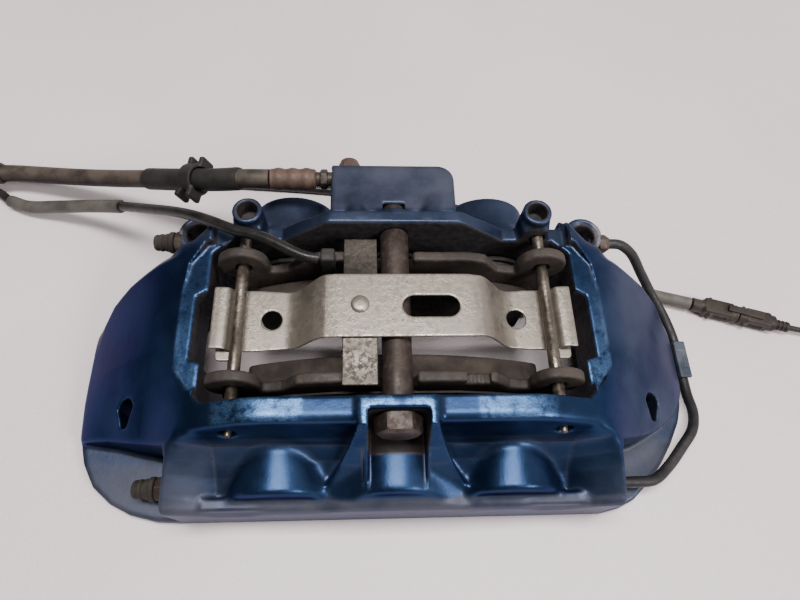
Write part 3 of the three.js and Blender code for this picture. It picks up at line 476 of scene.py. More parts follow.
def outboard_half(f):
    f.cut(lambda x, y, z: smax(y + 58, (slope_height(y) - z) * 0.72, 5.0), hi=(200, -52, 200), k=3.0)
    for shape in RECESSES:
        def recess(x, y, z):
            outer = ramp(np.abs(x), 58, 72)
            inner_floor, outer_floor = (np.interp(y, FALL_Y, fall) for fall in (FALL_INNER, FALL_OUTER))
            floor = inner_floor * (1 - outer) + outer_floor * outer
            wall = floor + 0.8 * np.maximum(polygon(x, y, shape), 0)
            return smax((wall - z) * 0.74, y + 57, 5.0)

        span = (-118, -16) if shape[0][0] < 0 else (14, 118)
        f.cut(recess, (span[0], -90, 28), (span[1], -50, 90), k=6.0)

    def buttress(x, y, z):
        half = 17.5 + np.maximum(0, -57 - y) * 0.78
        top = np.interp(y, BUTTRESS_Y, BUTTRESS_TOP)
        d = np.maximum((np.abs(x + 0.5) - half) * 0.79, np.maximum(y + 44, -83 - y))
        return smax(d, (z - top) * 0.5, 2.0)

    f.add(buttress, (-48, -86, 30), (48, -42, 90), k=3.0)
    for cx, cz, _ in CYLINDERS:
        def dome(x, y, z):
            """Housing whose crest stays level while it widens forwards."""
            r = np.interp(y, DOME_Y, DOME_R) if cx else np.interp(y + 5, DOME_Y, DOME_R)
            round_top = (np.hypot(x - cx, z - DOME_TOP + r) - r) * 0.85
            return smax(round_top, np.maximum(-82 - y, y + 50), 3.0)

        f.add(dome, (cx - 34, -88, cz - 34), (cx + 34, -42, cz + 34), k=3.5)
        near = (cx - 30, -86, cz - 30), (cx + 30, -42, cz + 30)
        f.bar("y", (cx, cz), 22.5, -80, -44, 3.0, near, k=2.0)
    # Ledge in front of the three housings.
    f.box((-92, -86.5, 20), (92, -80.5, 39.6), 1.5, ((-100, -90, 10), (100, -70, 50)), k=2.5)
    # Machined pads on the rail stand a little proud of it.
    f.cut(lambda x, y, z: np.maximum(81.0 - z, 75.5 - np.abs(x)) + 0 * y, hi=(200, -40, 200), k=0.5)


def inboard_half(f):
    def behind(x, y, z):
        top = np.where(y < 53, 66 - (y - 52) * 14, 52 - (y - 53) * 0.47)
        return smax(np.maximum(51.5 - y, np.abs(x) - 90), (top - z) * 0.85, 3.0)

    f.cut(behind, (-95, 48, 40), (95, 66, 90), k=2.5)

    def shoulder(x, y, z):
        line = np.where(np.abs(x) < 58, 82 - (np.abs(x) - 34) * 0.75, 64)
        return smax(slab(np.abs(x), 34, 92), np.maximum(41 - y, (line - z) * 0.8), 2.0)

    f.cut(shoulder, (-96, 39, 55), (96, 66, 90), k=2.5)
    for cx, cz, _ in CYLINDERS:
        near = (cx - 30, 40, cz - 30), (cx + 30, 86, cz + 30)
        f.bar("y", (cx, cz), 24.0, 44, 82, 2.5, near, k=6.0)
        near = (cx - 20, 60, cz - 20), (cx + 20, 86.6, cz + 20)
        f.bar("y", (cx, cz), 15.0, 70, 84.5, 2.0, near, k=3.0)

    def block(x, y, z):
        corner = np.hypot(np.maximum(x - 24, 0), np.maximum(y - 77, 0)) - 9
        plan = np.maximum(np.maximum(-33 - x, x - 33), np.maximum(54 - y, y - 86))
        plan = np.where((x > 24) & (y > 77), corner, plan)
        return smax(plan, slab(z, 42, 74), 2.4)

    f.add(block, (-38, 50, 38), (38, 90, 80), k=2.5)
    for s in (-1, 1):
        near = (s * 17.5 - 12.5, 42, 60), (s * 17.5 + 12.5, 72, 86)
        f.add(lambda x, y, z: capsule(x, y, z, (s * 17, 48, 77), (s * 21, 62, 71), 3.6), *near, k=3.5)
    f.bar("y", (0, BOLT_Z - 1), 9.0, 44, 56, 1.5, ((-12, 43, 56), (12, 60, 80.5)), k=3.0)


def lugs_and_posts(f):
    for s in (1, -1):
        lug = (LUG_X[s], LUG_Y)
        web, post = s * 97, s * POST_X
        near = (web - 14, 38, 18), (web + 14, 62, 52)
        f.box((web - 9, 43, 22), (web + 9, 57, 46), 2, near, k=4.0)
        near = (lug[0] - 16, LUG_Y - 16, 15), (lug[0] + 16, LUG_Y + 16, 60)
        f.bar("z", lug, 10.8, 22, 50, 2.0, near, k=3.5)
        near = (post - 12, 40, 50), (post + 12, 60, 80)
        f.box((post - 7, 44, 55), (post + 7, 54, 74), 1.5, near, k=3.0)
        near = (post - 12, 40, 36), (post + 12, 64, 84)
        f.bar("z", (post, POST_Y), 7.6, 40, 80, 1.6, near, k=3.0)
        for lo, hi in (((85.5, -46, 6), (100, -22, 44)), ((85.5, 19, 6), (100, 46, 44))):
            lo, hi = (lo, hi) if s > 0 else ((-hi[0], *lo[1:]), (-lo[0], *hi[1:]))
            f.box(lo, hi, 0.8, ([v - 3 for v in lo], [v + 3 for v in hi]), k=1.0)


def teardrop(x, y, s):
    cx, cy = s * HOLE_X, HOLE_Y
    tip = polygon(x, y, [(cx - 4.3, cy), (cx + 4.3, cy), (cx + 1.5, cy - 9), (cx - 1.5, cy - 9)])
    return smin(np.hypot(x - cx, y - cy) - 4.5, tip - 0.3, 1.0)


def bevel_height(u):
    return 64.2 - 0.1 * (u - 98)


def cut_spaces(f):
    """Window, disc slot, pockets and hollows."""
    f.cut(lambda x, y, z: polygon(x, y, both(WINDOW)) + 0 * z, (-104, -50, -3), (104, 50, 90), k=1.2)

    def disc_slot(x, y, z):
        return smax(np.hypot(x, z - AXLE_Z) - 184, np.abs(y) - 19, 1.0)

    f.cut(disc_slot, hi=(200, 200, 66), k=1.2)
    for s in (1, -1):
        def bevel(x, y, z):
            """Wide worn chamfer round the window's end."""
            return smax(polygon(s * x, y, BEVEL), bevel_height(s * x) - z, 0.6)

        span = sorted((s * 84, s * 112))
        f.cut(bevel, (span[0], -44, 55), (span[1], 46, 90), k=0.9)
        span = sorted((s * 98, s * 174))

        def pocket(x, y, z):
            return smax(polygon(s * x, y, POCKET[s]), 8 - z, 3.0)

        def hollow(x, y, z):
            plan = polygon(s * x, y, HOLLOW[s])
            return smax(smax(plan, np.hypot(x, z - AXLE_Z) - 196, 4.0), -3 - z, 0)

        def edge_slot(x, y, z):
            return capsule(x, y, z, (s * 131.5, 37.0, 38), (s * 145.5, 30.5, 31.5), 2.0)

        f.cut(pocket, (span[0], -95, 4), (span[1], -12, 90), k=2.5)
        f.cut(hollow, (span[0], -52, -3), (span[1], 50, 70), k=1.5)
        near = (s * HOLE_X - 10, -54, 8), (s * HOLE_X + 10, -26, 70)
        f.cut(lambda x, y, z: teardrop(x, y, s) + 0 * z, *near, k=1.0)
        f.cut(edge_slot, (s * 139 - 14, 22, 24), (s * 139 + 14, 46, 46), k=0.8)


def drill(f):
    def hole(axis, u, v, r, a, b, k=0.8):
        i = "xyz".index(axis)
        across = OTHERS[i]
        lo, hi = [0] * 3, [0] * 3
        lo[i], hi[i] = a - 2, b + 2
        for j, c in zip(across, (u, v)):
            lo[j], hi[j] = c - r - 3, c + r + 3
        f.cut(lambda *at: cylinder(at[across[0]], at[across[1]], at[i], u, v, r, a, b), lo, hi, k)

    hole("y", 0, BOLT_Z, 6.4, -70, 61)

    def seat(x, y, z):
        """Deep seat of the tie bolt's head; the middle housing's dome rises at its front."""
        r = np.interp(y + 5, DOME_Y, DOME_R)
        dome = smax((np.hypot(x, z - DOME_TOP + r) - r) * 0.85, y + 63.5, 4.0)
        keep = np.minimum(np.hypot(x, z - 33) - 22.5, dome)
        return smax(box3(x, y, z, (-13.5, -90, 46), (13, -50.2, 95), 1.5), -keep, 1.0)

    f.cut(seat, (-18, -90, 38), (18, -46, 90), k=1.0)
    for s in (1, -1):
        hole("y", s * PIN_X, PIN_Z, PIN_R + 0.75, -62, POST_Y - 2)
        hole("z", LUG_X[s], LUG_Y, 6.3, 16, 56)
        hole("z", LUG_X[s], LUG_Y, 7.8, 48.4, 56)
        hole("z", LUG_X[s], LUG_Y, 12.8, -4, 22, 0.5)
        hole("z", LUG_X[s], LUG_Y, 12.3, 50.2, 90, 1.5)
        hole("z", s * POST_X, POST_Y, 5.1, 70, 90)
        for cx, cz, bore in CYLINDERS:
            for r, near, far in ((bore + 0.6, 42, 71), (bore + 3.1, 51.8, 56.2), (bore + 3.1, 42, 47)):
                hole("y", cx, cz, r, *sorted((s * near, s * far)), 0.3)
    hole("x", -73, 18, 5.7, -112, -92)
    hole("x", 55.5, 42, 4.7, -119, -111)
    hole("x", -74, 17, 5.7, 96, 112)
    hole("x", 55.5, 42, 4.7, 114, 123)
    hole("x", 55.5, 42, 6.9, -122, -114.5)
    hole("x", 55.5, 42, 6.8, 118.4, 126)
    hole("x", PORT_Y, PORT_Z, 4.7, -36, -26.4)
    hole("y", -23.5, 66, 3.5, 72, 90)


def boxed(p, lo, hi, soft=1.5):
    """1 inside a box of positions, falling to 0 over a soft border."""
    out = np.ones(len(p))
    for i in range(3):
        out *= ramp(p[:, i], lo[i] - soft, lo[i] + soft)
        out *= 1 - ramp(p[:, i], hi[i] - soft, hi[i] + soft)
    return out


def body_marks(obj, f):
    """Where the paint is worn, dusty or missing, and where shade is painted into the tie bolt's seat,
    as numbers on the vertices.
    """
    p, n = vertices(obj), normals(obj)
    x, y, z = p.T
    at = np.clip(np.round((p - f.lo) / f.step).astype(int), 1, np.array(f.d.shape) - 2)
    i, j, k = at.T
    d = f.d
    total = -6 * d[i, j, k]
    for a, b, c in ((1, 0, 0), (0, 1, 0), (0, 0, 1)):
        total = total + d[i + a, j + b, k + c] + d[i - a, j - b, k - c]
    convex = np.clip(total / f.step * 1.2, -1, 1)
    up = np.clip(n[:, 2], 0, 1)
    wear = 0.1 * np.clip(convex - 0.12, 0, 1)
    for lo, hi, amount in WORN_PADS:
        wear = np.maximum(wear, amount * boxed(p, lo, hi) * (up > 0.75))
    for s in (1, -1):
        on_bevel = np.abs(z - bevel_height(s * x)) < 0.7
        band = ramp(-polygon(s * x, y, BEVEL), -0.6, 0.4) * on_bevel
        along = np.interp(y, (-30, 10, 30), (0.85, 0.25, 0.1) if s > 0 else (0.5, 0.3, 0.2))
        wear = np.maximum(wear, band * along)
    lane = (np.abs(x) < 98.6) & (np.abs(y) < 44.8)
    raw_and_shade = 0.8 * lane * ramp(1 - up, 0.25, 0.6) * (np.abs(z) < 90)
    raw_and_shade = np.maximum(raw_and_shade, (np.hypot(x, z - AXLE_Z) < 184.8) & (np.abs(y) < 20))
    # Painted shade: the tie bolt's deep seat is marked fully in this mask so that it takes the darkest
    # brown, standing in for the shadow of the head and the rail.
    raw_and_shade = np.maximum(raw_and_shade, boxed(p, (-14, -64.5, 46), (13.5, -49.5, 80), 0.6))
    for s in (1, -1):
        inside = (np.hypot(x - LUG_X[s], y - LUG_Y) < 7.2) & (z > 20)
        inside |= (np.hypot(x - s * POST_X, y - POST_Y) < 5.6) & (z > 68)
        raw_and_shade = np.maximum(raw_and_shade, inside * 0.85)
    dust = 0.08 + 0.4 * np.clip(-convex, 0, 1) * (up > 0.1)
    dust += 0.38 * ramp(x, 96, 125) + 0.35 * ramp(y, 36, 46)
    dust += 0.6 * ramp(-y, 82, 85) + 0.28 * ramp(-y, 56, 62) * ramp(-x, 70, 92)
    for lo, hi, soft, amount in DUSTY_TOPS:
        dust += amount * boxed(p, lo, hi, soft) * up
    dust += 0.25 * ramp(-y, 60, 84) * ramp(np.abs(x), 84, 96)
    rim = ramp(polygon(x, y, PLAN_RIGHT + mirrored(PLAN_LEFT)), -9.5, -7.5)
    rim = rim * ramp(y, -4, 16) * ramp(np.abs(x), 105, 118)
    dust = np.maximum(np.clip(dust, 0, 0.78), rim)
    paint(obj, "wear", np.clip(wear, 0, 1))
    paint(obj, "dust", dust)
    paint(obj, "raw_and_shade", np.clip(raw_and_shade, 0, 1))


def caliper_body():
    step = 0.85
    f = Field((-172.5, -90.5, -3), (170.5, 89, 86.5), step)
    body_envelope(f)
    outboard_half(f)
    inboard_half(f)
    lugs_and_posts(f)
    cut_spaces(f)
    drill(f)
    _, (_, _, z) = f.grid()
    f.d = np.maximum(f.d, -z)
    obj = f.mesh("caliper_casting")
    body_marks(obj, f)
    obj.data.materials.append(MATS["blue"])
    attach(obj, "caliper")
    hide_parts("caliper_body")


# ---- swept, turned and small shapes
def smooth_path(points, spacing=1.5):
    """Centripetal Catmull-Rom curve through the points, as in the CAD source, closely sampled."""
    p = np.asarray(points, float)
    p = np.vstack([2 * p[0] - p[1], p, 2 * p[-1] - p[-2]])
    out = []
    for p0, p1, p2, p3 in zip(p[:-3], p[1:-2], p[2:-1], p[3:]):
        t0, t1, t2 = (math.sqrt(np.linalg.norm(b - a)) for a, b in ((p0, p1), (p1, p2), (p2, p3)))
        m1 = ((p1 - p0) / t0 - (p2 - p0) / (t0 + t1) + (p2 - p1) / t1) * t1
        m2 = ((p2 - p1) / t1 - (p3 - p1) / (t1 + t2) + (p3 - p2) / t2) * t1
        count = max(3, int(np.linalg.norm(p2 - p1) / spacing))
        t = (np.arange(count) / count)[:, None]
        out.append(
            (2 * t**3 - 3 * t**2 + 1) * p1 + (t**3 - 2 * t**2 + t) * m1
            + (3 * t**2 - 2 * t**3) * p2 + (t**3 - t**2) * m2
        )
    return np.vstack([*out, p[-2]])


def sweep(name, path, radius, sides=18):
    """Round bar along a path; radius is one number or one for each point."""
    p = np.asarray(path, float)
    t = np.gradient(p, axis=0)
    t /= np.linalg.norm(t, axis=1)[:, None]
    u = np.cross(t[0], (0.3, 0.2, 1.0))
    frames = []
    for direction in t:
        u = u - direction * (u @ direction)
        u /= np.linalg.norm(u)
        frames.append((u, np.cross(direction, u)))
    a = np.linspace(0, 2 * math.pi, sides, endpoint=False)
    r = np.broadcast_to(np.asarray(radius, float), len(p))
    rings = [
        c + k * (np.outer(np.cos(a), u) + np.outer(np.sin(a), v))
        for c, k, (u, v) in zip(p, r, frames)
    ]
    last, end = (len(p) - 1) * sides, len(p) * sides
    turn = [(j, (j + 1) % sides) for j in range(sides)]
    faces = [
        (i + j, i + k, i + sides + k, i + sides + j) for i in range(0, last, sides) for j, k in turn
    ]
    for j, k in turn:
        faces += [(k, j, end), (last + j, last + k, end + 1)]
    obj = mesh_object(name, metres(np.vstack([*rings, p[:1], p[-1:]])), faces)
    obj.data.set_sharp_from_angle(angle=math.radians(50))
    return obj


def hex_radius(a, across):
    step = math.pi / 3
    return across / 2 / np.cos((a + step / 2) % step - step / 2)


def turned(name, axis, origin, profile, sides=48, sharp=34, turn=0.0):
    """Turned piece along an axis: (radius, distance) or (radius, distance, across flats) points.

    The profile starts and ends on the axis, or is a closed loop that keeps off it."""
    i = "xyz".index(axis)
    u, v = np.eye(3)[(i + 1) % 3], np.eye(3)[(i + 2) % 3]
    a = np.linspace(0, 2 * math.pi, sides, endpoint=False) + turn
    points, faces, rows = [], [], []
    for r, h, *flats in profile:
        centre = np.asarray(origin, float) + h * np.eye(3)[i]
        if r <= 0:
            rows.append([len(points)] * sides)
            points.append(centre)
            continue
        radii = np.minimum(r, hex_radius(a, flats[0])) if flats else np.full(sides, float(r))
        rows.append(list(range(len(points), len(points) + sides)))
        points.extend(centre + np.outer(radii * np.cos(a), u) + np.outer(radii * np.sin(a), v))
    closed = profile[0][0] > 0
    pairs = list(zip(rows[:-1], rows[1:])) + ([(rows[-1], rows[0])] if closed else [])
    for low, high in pairs:
        for j in range(sides):
            k = (j + 1) % sides
            face = list(dict.fromkeys((low[j], low[k], high[k], high[j])))
            if len(face) > 2:
                faces.append(tuple(face))
    obj = mesh_object(name, metres(points), faces)
    work = bmesh.new()
    work.from_mesh(obj.data)
    bmesh.ops.recalc_face_normals(work, faces=work.faces)
    work.to_mesh(obj.data)
    work.free()
    obj.data.shade_smooth()
    obj.data.set_sharp_from_angle(angle=math.radians(sharp))
    return obj


def ribbed(start, end, low, high, ribs):
    """Radius and distance pairs that swell and shrink between two distances."""
    t = np.linspace(0, 1, 8 * ribs + 1)
    r = low + (high - low) * (0.5 - 0.5 * np.cos(2 * math.pi * ribs * t))
    return [(float(a), float(b)) for a, b in zip(r, start + (end - start) * t)]


def fit(obj, node, look, body="caliper"):
    """Gives a piece its material, its body and the CAD node it stands for."""
    obj.data.materials.append(MATS[look])
    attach(obj, body)
    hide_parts(node)
    return obj


def rounded(points, cut, rounds=2):
    """Cuts the corners of an open line again and again, at most cut millimetres from each."""
    p = [np.asarray(q, float) for q in points]
    for _ in range(rounds):
        out = [p[0]]
        for a, b, c in zip(p[:-2], p[1:-1], p[2:]):
            for q in (a, c):
                length = np.linalg.norm(q - b)
                out.append(b + (q - b) * min(cut, length * 0.3) / length)
        out.append(p[-1])
        p, cut = out, cut * 0.45
    return p


# ---- cords
LEAD_ROUTE = [
    (-37.7, 25.2, 78.6), (-42, 25.6, 79.2), (-47, 27.2, 79.6), (-53, 30.2, 79.8), (-65, 36.6, 79.4),
    (-79.5, 42, 77.6), (-96, 51, 73.4), (-112, 60.6, 64.5), (-134, 72.2, 50.5), (-157, 83.5, 36),
    (-180, 92, 23.5), (-205, 98.5, 13), (-228, 102.8, 6.5), (-241, 108.2, 4.3), (-251.5, 115.5, 4.0),
    (-267, 119.2, 3.6), (-290, 123, 3), (-308, 135, 3), (-314, 152, 3), (-309, 169, 3), (-295, 176, 3),
    (-281, 168, 3), (-276, 151, 3), (-267, 137, 3), (-251, 130, 3), (-230, 128.4, 3),
    (-205, 128.2, 3), (-180, 128, 3), (-150, 127, 3), (-100, 124, 3), (-50, 120.5, 3),
    (0, 115, 3), (50, 104, 3), (90, 84, 3), (120, 66, 3), (145, 50, 3.6), (161, 41.5, 4.4),
    (175, 37.5, 5.2), (187, 34.1, 5.6),
]
HOSE_ROUTE = [
    (-66.4, 80.6, 67.5), (-82, 81.2, 66.6), (-97, 84.6, 60.8), (-118, 91, 52), (-142, 99.5, 41),
    (-165, 107, 31), (-188, 113.5, 23), (-210, 118.5, 17.8), (-226, 121.6, 15), (-236, 122.9, 14),
    (-244, 123, 14),
]
TAIL_ROUTE = [(60.6, 0, 0), (72, 1, -0.6), (88, 5, -2.6), (104, 6, -3.2), (120, 2, -3.2)]
HOSE_D, LEAD_D, TAIL_D = 10.4, 5.6, 3.4
CONNECTOR = (187.9, 33.9, 5.6)
CONNECTOR_TURN = math.radians(-15.7)


def on_connector(points):
    """Points along the connector's own axis, to the drawing frame."""
    c, s = math.cos(CONNECTOR_TURN), math.sin(CONNECTOR_TURN)
    p = np.asarray(points, float)
    return np.column_stack([c * p[:, 0] - s * p[:, 1], s * p[:, 0] + c * p[:, 1], p[:, 2]]) + CONNECTOR


def connector_piece(field, name, node):
    """Meshes a piece drawn along the connector's own axis and moves it to its place."""
    obj = field.mesh(name)
    place_vertices(obj, on_connector(vertices(obj)))
    return fit(obj, node, "plastic")


def brake_hose():
    path = smooth_path(HOSE_ROUTE)
    hose = fit(sweep("hose", path, HOSE_D / 2, 24), "brake_hose", "hose")
    cover = smooth_path(HOSE_ROUTE[1:5])
    bulge = np.full(len(cover), 6.3)
    bulge[0] = bulge[-1] = 5.9
    sleeve = fit(sweep("hose_cover", cover, bulge, 24), "hose_sleeve", "rubber")
    x, y, z = HOSE_ROUTE[-1]
    end = x - 0.6
    collar = turned("end_collar", "x", (end, y, z), [
        (0, -25), (5.8, -25), (6.4, -24.4), (6.5, -22), (6.8, -20),
        (6.8, -16), (6.2, -15), (6.2, -13), (6.8, -12), (6.8, -8),
        (6.2, -7), (6.2, -5), (6.8, -4), (6.6, -1), (6, 0), (0, 0),
    ])
    fit(collar, "hose_end_collar", "fitting")
    start = end - 25.3
    fitting = turned("end_fitting", "x", (start, y, z), [
        (0, -19), (3.2, -19), (3.9, -18), *ribbed(-17.6, -8, 3.5, 3.9, 8),
        (3.9, -7), (5.6, -7, 11), (6.3, -6.4, 11), (6.3, -0.6, 11),
        (5.6, 0, 11), (0, 0),
    ])
    fit(fitting, "hose_end_fitting", "fitting")
    rubber = hose_grommet()


def hose_grommet():
    """Two notched rubber plates joined by a ring, drawn round the hose and then turned along it."""
    f = Field((-15, -11, -8), (15, 11, 8), 0.45)

    def shape(x, y, z):
        plate = smax(np.abs(x) - 12.6, np.abs(y) - 3.6 - 0.12 * np.abs(x), 1.5)
        plates = smax(plate, np.abs(np.abs(z) - 3.9) - 1.5, 0.8)
        ring = smax(np.hypot(x, y) - 9.0, np.abs(z) - 4.2, 0.8)
        return smax(smin(plates, ring, 1.0), 7.1 - np.hypot(x, y), 0.4)

    f.add(shape)
    obj = f.mesh("grommet")
    path = smooth_path(HOSE_ROUTE, 0.8)
    run = np.concatenate([[0], np.cumsum(np.linalg.norm(np.diff(path, axis=0), axis=1))])
    i = int(np.searchsorted(run, 0.245 * run[-1]))
    along = path[i + 1] - path[i - 1]
    along /= np.linalg.norm(along)
    side = np.array([0, 1, 0]) - along * along[1]
    side /= np.linalg.norm(side)
    basis = np.array([side, np.cross(along, side), along])
    place_vertices(obj, vertices(obj) @ basis + path[i])
    return fit(obj, "hose_grommet", "rubber")


def sensor_lead():
    path = smooth_path(LEAD_ROUTE)
    lead = sweep("lead", path, LEAD_D / 2, 16)
    lead.data.materials.append(MATS["lead"])
    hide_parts("sensor_lead")
    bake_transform(lead)
    for name, node, part in (
        ("left_sheath", "lead_sheath_left", LEAD_ROUTE[9:14]),
        ("right_sheath", "lead_sheath_right", LEAD_ROUTE[36:39]),
    ):
        line = smooth_path(part)
        fit(sweep(name, line, LEAD_D / 2 + 1.1, 18), node, "sheath")
    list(connector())


def connector():
    """The two halves of the lead's plug, drawn along X and then put in place."""
    f = Field((-2, -8, -6), (30, 8, 9), 0.4)
    f.bar("x", (0, 0), 4.2, 0, 9, 0.8)
    f.box((7, -4.9, -4.7), (25, 4.9, 4.9), 1.4, k=1.5)
    f.box((10, -6.4, -3.2), (12, 6.4, 3.2), 0.5, k=0.8)
    f.bar("x", (0, 0), 5.7, 23.5, 28, 0.8, k=0.8)
    f.cut(lambda x, y, z: box3(x, np.abs(y), z, (14, 4.1, -1.4), (22, 9, 1.4), 0.4), k=0.4)
    socket = connector_piece(f, "plug_socket", "connector_socket")
    f = Field((19, -8, -7), (62, 8, 10), 0.4)
    f.bar("x", (0, 0), 5.5, 28.4, 34, 0.8)
    f.box((33, -4.7, -4.6), (48, 4.7, 4.6), 1.2, k=1.2)
    f.box((31.6, -6.6, -1.8), (33.4, 6.6, 1.8), 0.4, k=0.6)
    f.box((30, -2.1, 3), (42, 2.1, 6.5), 0.5, k=0.4)
    f.box((20.4, -2.1, 5.7), (33, 2.1, 7.1), 0.4, k=0.4)
    f.bar("x", (0, 0), 5.0, 46.6, 51, 0.6, k=0.6)
    f.bar("x", (0, 0), 3.3, 50, 60, 0.8, k=0.6)
    f.cut(lambda x, y, z: box3(x, np.abs(y), z, (36, 4.0, -1.6), (44, 9, 1.6), 0.4), k=0.4)
    for at in (52.6, 55, 57.4):
        f.cut(lambda x, y, z: smax(np.abs(x - at) - 0.5, 2.7 - np.hypot(y, z), 0.2), k=0.3)
    plug = connector_piece(f, "plug_body", "connector_plug")
    return [socket, plug]


def connector_tail():
    path = on_connector(smooth_path(TAIL_ROUTE))
    tail = fit(sweep("tail_lead", path, TAIL_D / 2, 14), "connector_tail", "rubber")
    x, y, z = TAIL_ROUTE[-1]
    f = Field((x - 1, y - 6, z - 4), (x + 20, y + 6, z + 7), 0.4)
    f.bar("x", (y, z + 1), 3.1, x + 0.6, x + 7, 0.8)
    f.box((x + 5, y - 3.5, z - 1.9), (x + 17, y + 3.5, z + 4.2), 0.8, k=0.8)
    lo, hi = (x + 9, y - 2.2, z + 3.4), (x + 15, y + 2.2, z + 6)
    f.cut(lambda u, v, w: box3(u, v, w, lo, hi, 0.3), k=0.3)
    plug = connector_piece(f, "tail_plug", "tail_terminal")


# ---- pads, spring, pins and bolt
def backing_plate(name, node, body, y0, y1):
    f = Field((-90, y0 - 1.6, 1), (90, y1 + 1.6, 81), 0.75)
    side = [(79, 3), (84, 9), (84, 50), (70, 58), (62, 60), (54, 62.5), (46, 72), (38, 74.3)]
    _, (x, y, z) = f.grid()
    outline = polygon(x, z, both(side))
    ears = np.hypot(np.abs(x) - PIN_X, z - PIN_Z) - 12.6
    outline = smin(outline, ears, 5.0)
    wobble = 0.35 * np.sin(x * 0.31 + 1.3) * np.sin(z * 0.27) + 0.2 * np.sin(x * 0.83 + z * 0.7)
    outline = outline + 0.35 * wobble
    if y0 < 0:
        broken = np.maximum(np.abs(x - 37.5) - 5.4, 69.8 + 0.4 * np.sin(x * 1.7) - z)
        outline = smax(outline, -broken, 0.8)
    outline = smax(outline, -(np.hypot(x, z - BOLT_Z) - 9.0), 1.0)
    outline = smax(outline, -np.maximum(np.abs(x) - 9.0, BOLT_Z - z), 1.0)
    outline = smax(outline, -(np.hypot(np.abs(x) - PIN_X, z - PIN_Z) - PIN_R - 0.9), 0.4)
    f.d = smax(outline, slab(y, y0, y1), 1.2).astype(np.float32)
    return fit(f.mesh(name), node, "plate", body)


def friction_block(name, node, body, y0, y1):
    f = Field((-77, y0 - 1.6, 3), (77, y1 + 1.6, 62), 0.9)
    _, (x, y, z) = f.grid()
    outline = smax(np.abs(x) - 74, 5 - z, 8.0)
    outline = smax(outline, np.hypot(x, z - AXLE_Z) - 180, 3.0)
    block = smax(outline, slab(y, y0, y1), 1.0)
    face = y0 if y0 > 0 else y1
    groove = np.maximum(np.abs(x) - 1.6, np.abs(y - face) - 5)
    f.d = smax(block, -groove, 0.4).astype(np.float32)
    return fit(f.mesh(name), node, "friction", body)


def pads():
    backing_plate("outboard_plate", "outboard_backing_plate", "outboard_pad", -36.0, -30.7)
    backing_plate("inboard_plate", "inboard_backing_plate", "inboard_pad", 26.7, 32.0)
    friction_block("outboard_lining", "outboard_friction_block", "outboard_pad", -30.4, -17.4)
    friction_block("inboard_lining", "inboard_friction_block", "inboard_pad", 17.4, 26.4)
    f = Field((-39, 21, 58), (-27, 33, 84), 0.35)
    f.box((-36.5, 22.8, 60.6), (-29.5, 26.3, 78), 0.8)
    f.box((-36.5, 22.8, 74.8), (-29.5, 30, 81.4), 1.4, k=0.8)
    f.bar("x", (25.8, 78.3), 3.0, -36.5, -31, 0.8, k=0.8)
    fit(f.mesh("sensor_head"), "wear_sensor", "rubber", "inboard_pad")


def cross_spring():
    low, high, half = 61.0, 79.6, 0.62  # height of its feet and of its middle, half its thickness
    line = rounded([
        (-88.5, 65.6), (-81.6, 66.2), (-80.6, low), (-49, low), (-36, 78.1), (-31, high), (38, high),
        (43, 78.1), (55, low), (80.6, low), (81.6, 66.2), (88.5, 65.6),
    ], 3.0, 3)
    f = Field((-91, -23, 57), (91, 18.5, 83), 0.5)
    _, (x, y, z) = f.grid()
    strip = polyline(x, z, line) - half
    narrow = 16.3 - 0.9 * ramp(np.abs(x), 30, 50) * (1 - ramp(np.abs(x), 52, 70))
    d = smax(strip, np.abs(y) - narrow, 0.5)
    ends = np.hypot(np.maximum(np.abs(np.abs(x) - 82.5) - 1.5, 0), np.maximum(-18.6 - y, 0)) - 2.6
    tongue = smax(smax(ends, np.maximum(y + 12, -21.2 - y), 1.0), np.abs(z - low) - half, 0.4)
    d = smin(d, tongue, 0.6)
    slot = np.hypot(np.maximum(np.abs(x - 16.3) - 8.1, 0), y + 0.8) - 5.4
    d = smax(d, -slot, 0.5)
    d = smax(d, -(np.hypot(np.abs(x) - 60.9, y) - 5.0), 0.5)
    f.d = d.astype(np.float32)
    fit(f.mesh("spring_leaf"), "cross_spring", "spring")

    under = high - 1.4
    line = [(-38, 75.5), (-28, 75.7), (-15, under), (15, under), (26, 75.7), (38, 75.5)]
    line = rounded(line, 2.5, 3)
    f = Field((-28, -40, 72), (-6, 40, 81), 0.4)
    _, (x, y, z) = f.grid()
    strap = smax(polyline(y, z, line) - 0.52, np.abs(x + 17.2) - 8.2, 0.4)
    strap = smax(strap, -(np.hypot(x + 17.2, y) - 2.6), 0.3)
    f.d = smax(strap, np.abs(y) - 38, 0.4).astype(np.float32)
    fit(f.mesh("strap_leaf"), "spring_strap", "strap")
    rivet = turned("rivet", "z", (-17.2, 0, 0), [
        (0, 75.2), (3.6, 75.3), (4.2, 76), (4.0, 77), (2.3, 77.1), (2.3, 80.4), (4.4, 80.5),
        (4.3, 81), (3.3, 81.6), (1.2, 81.8), (0, 81.7),
    ], sharp=50)
    fit(rivet, "spring_rivet", "spring")


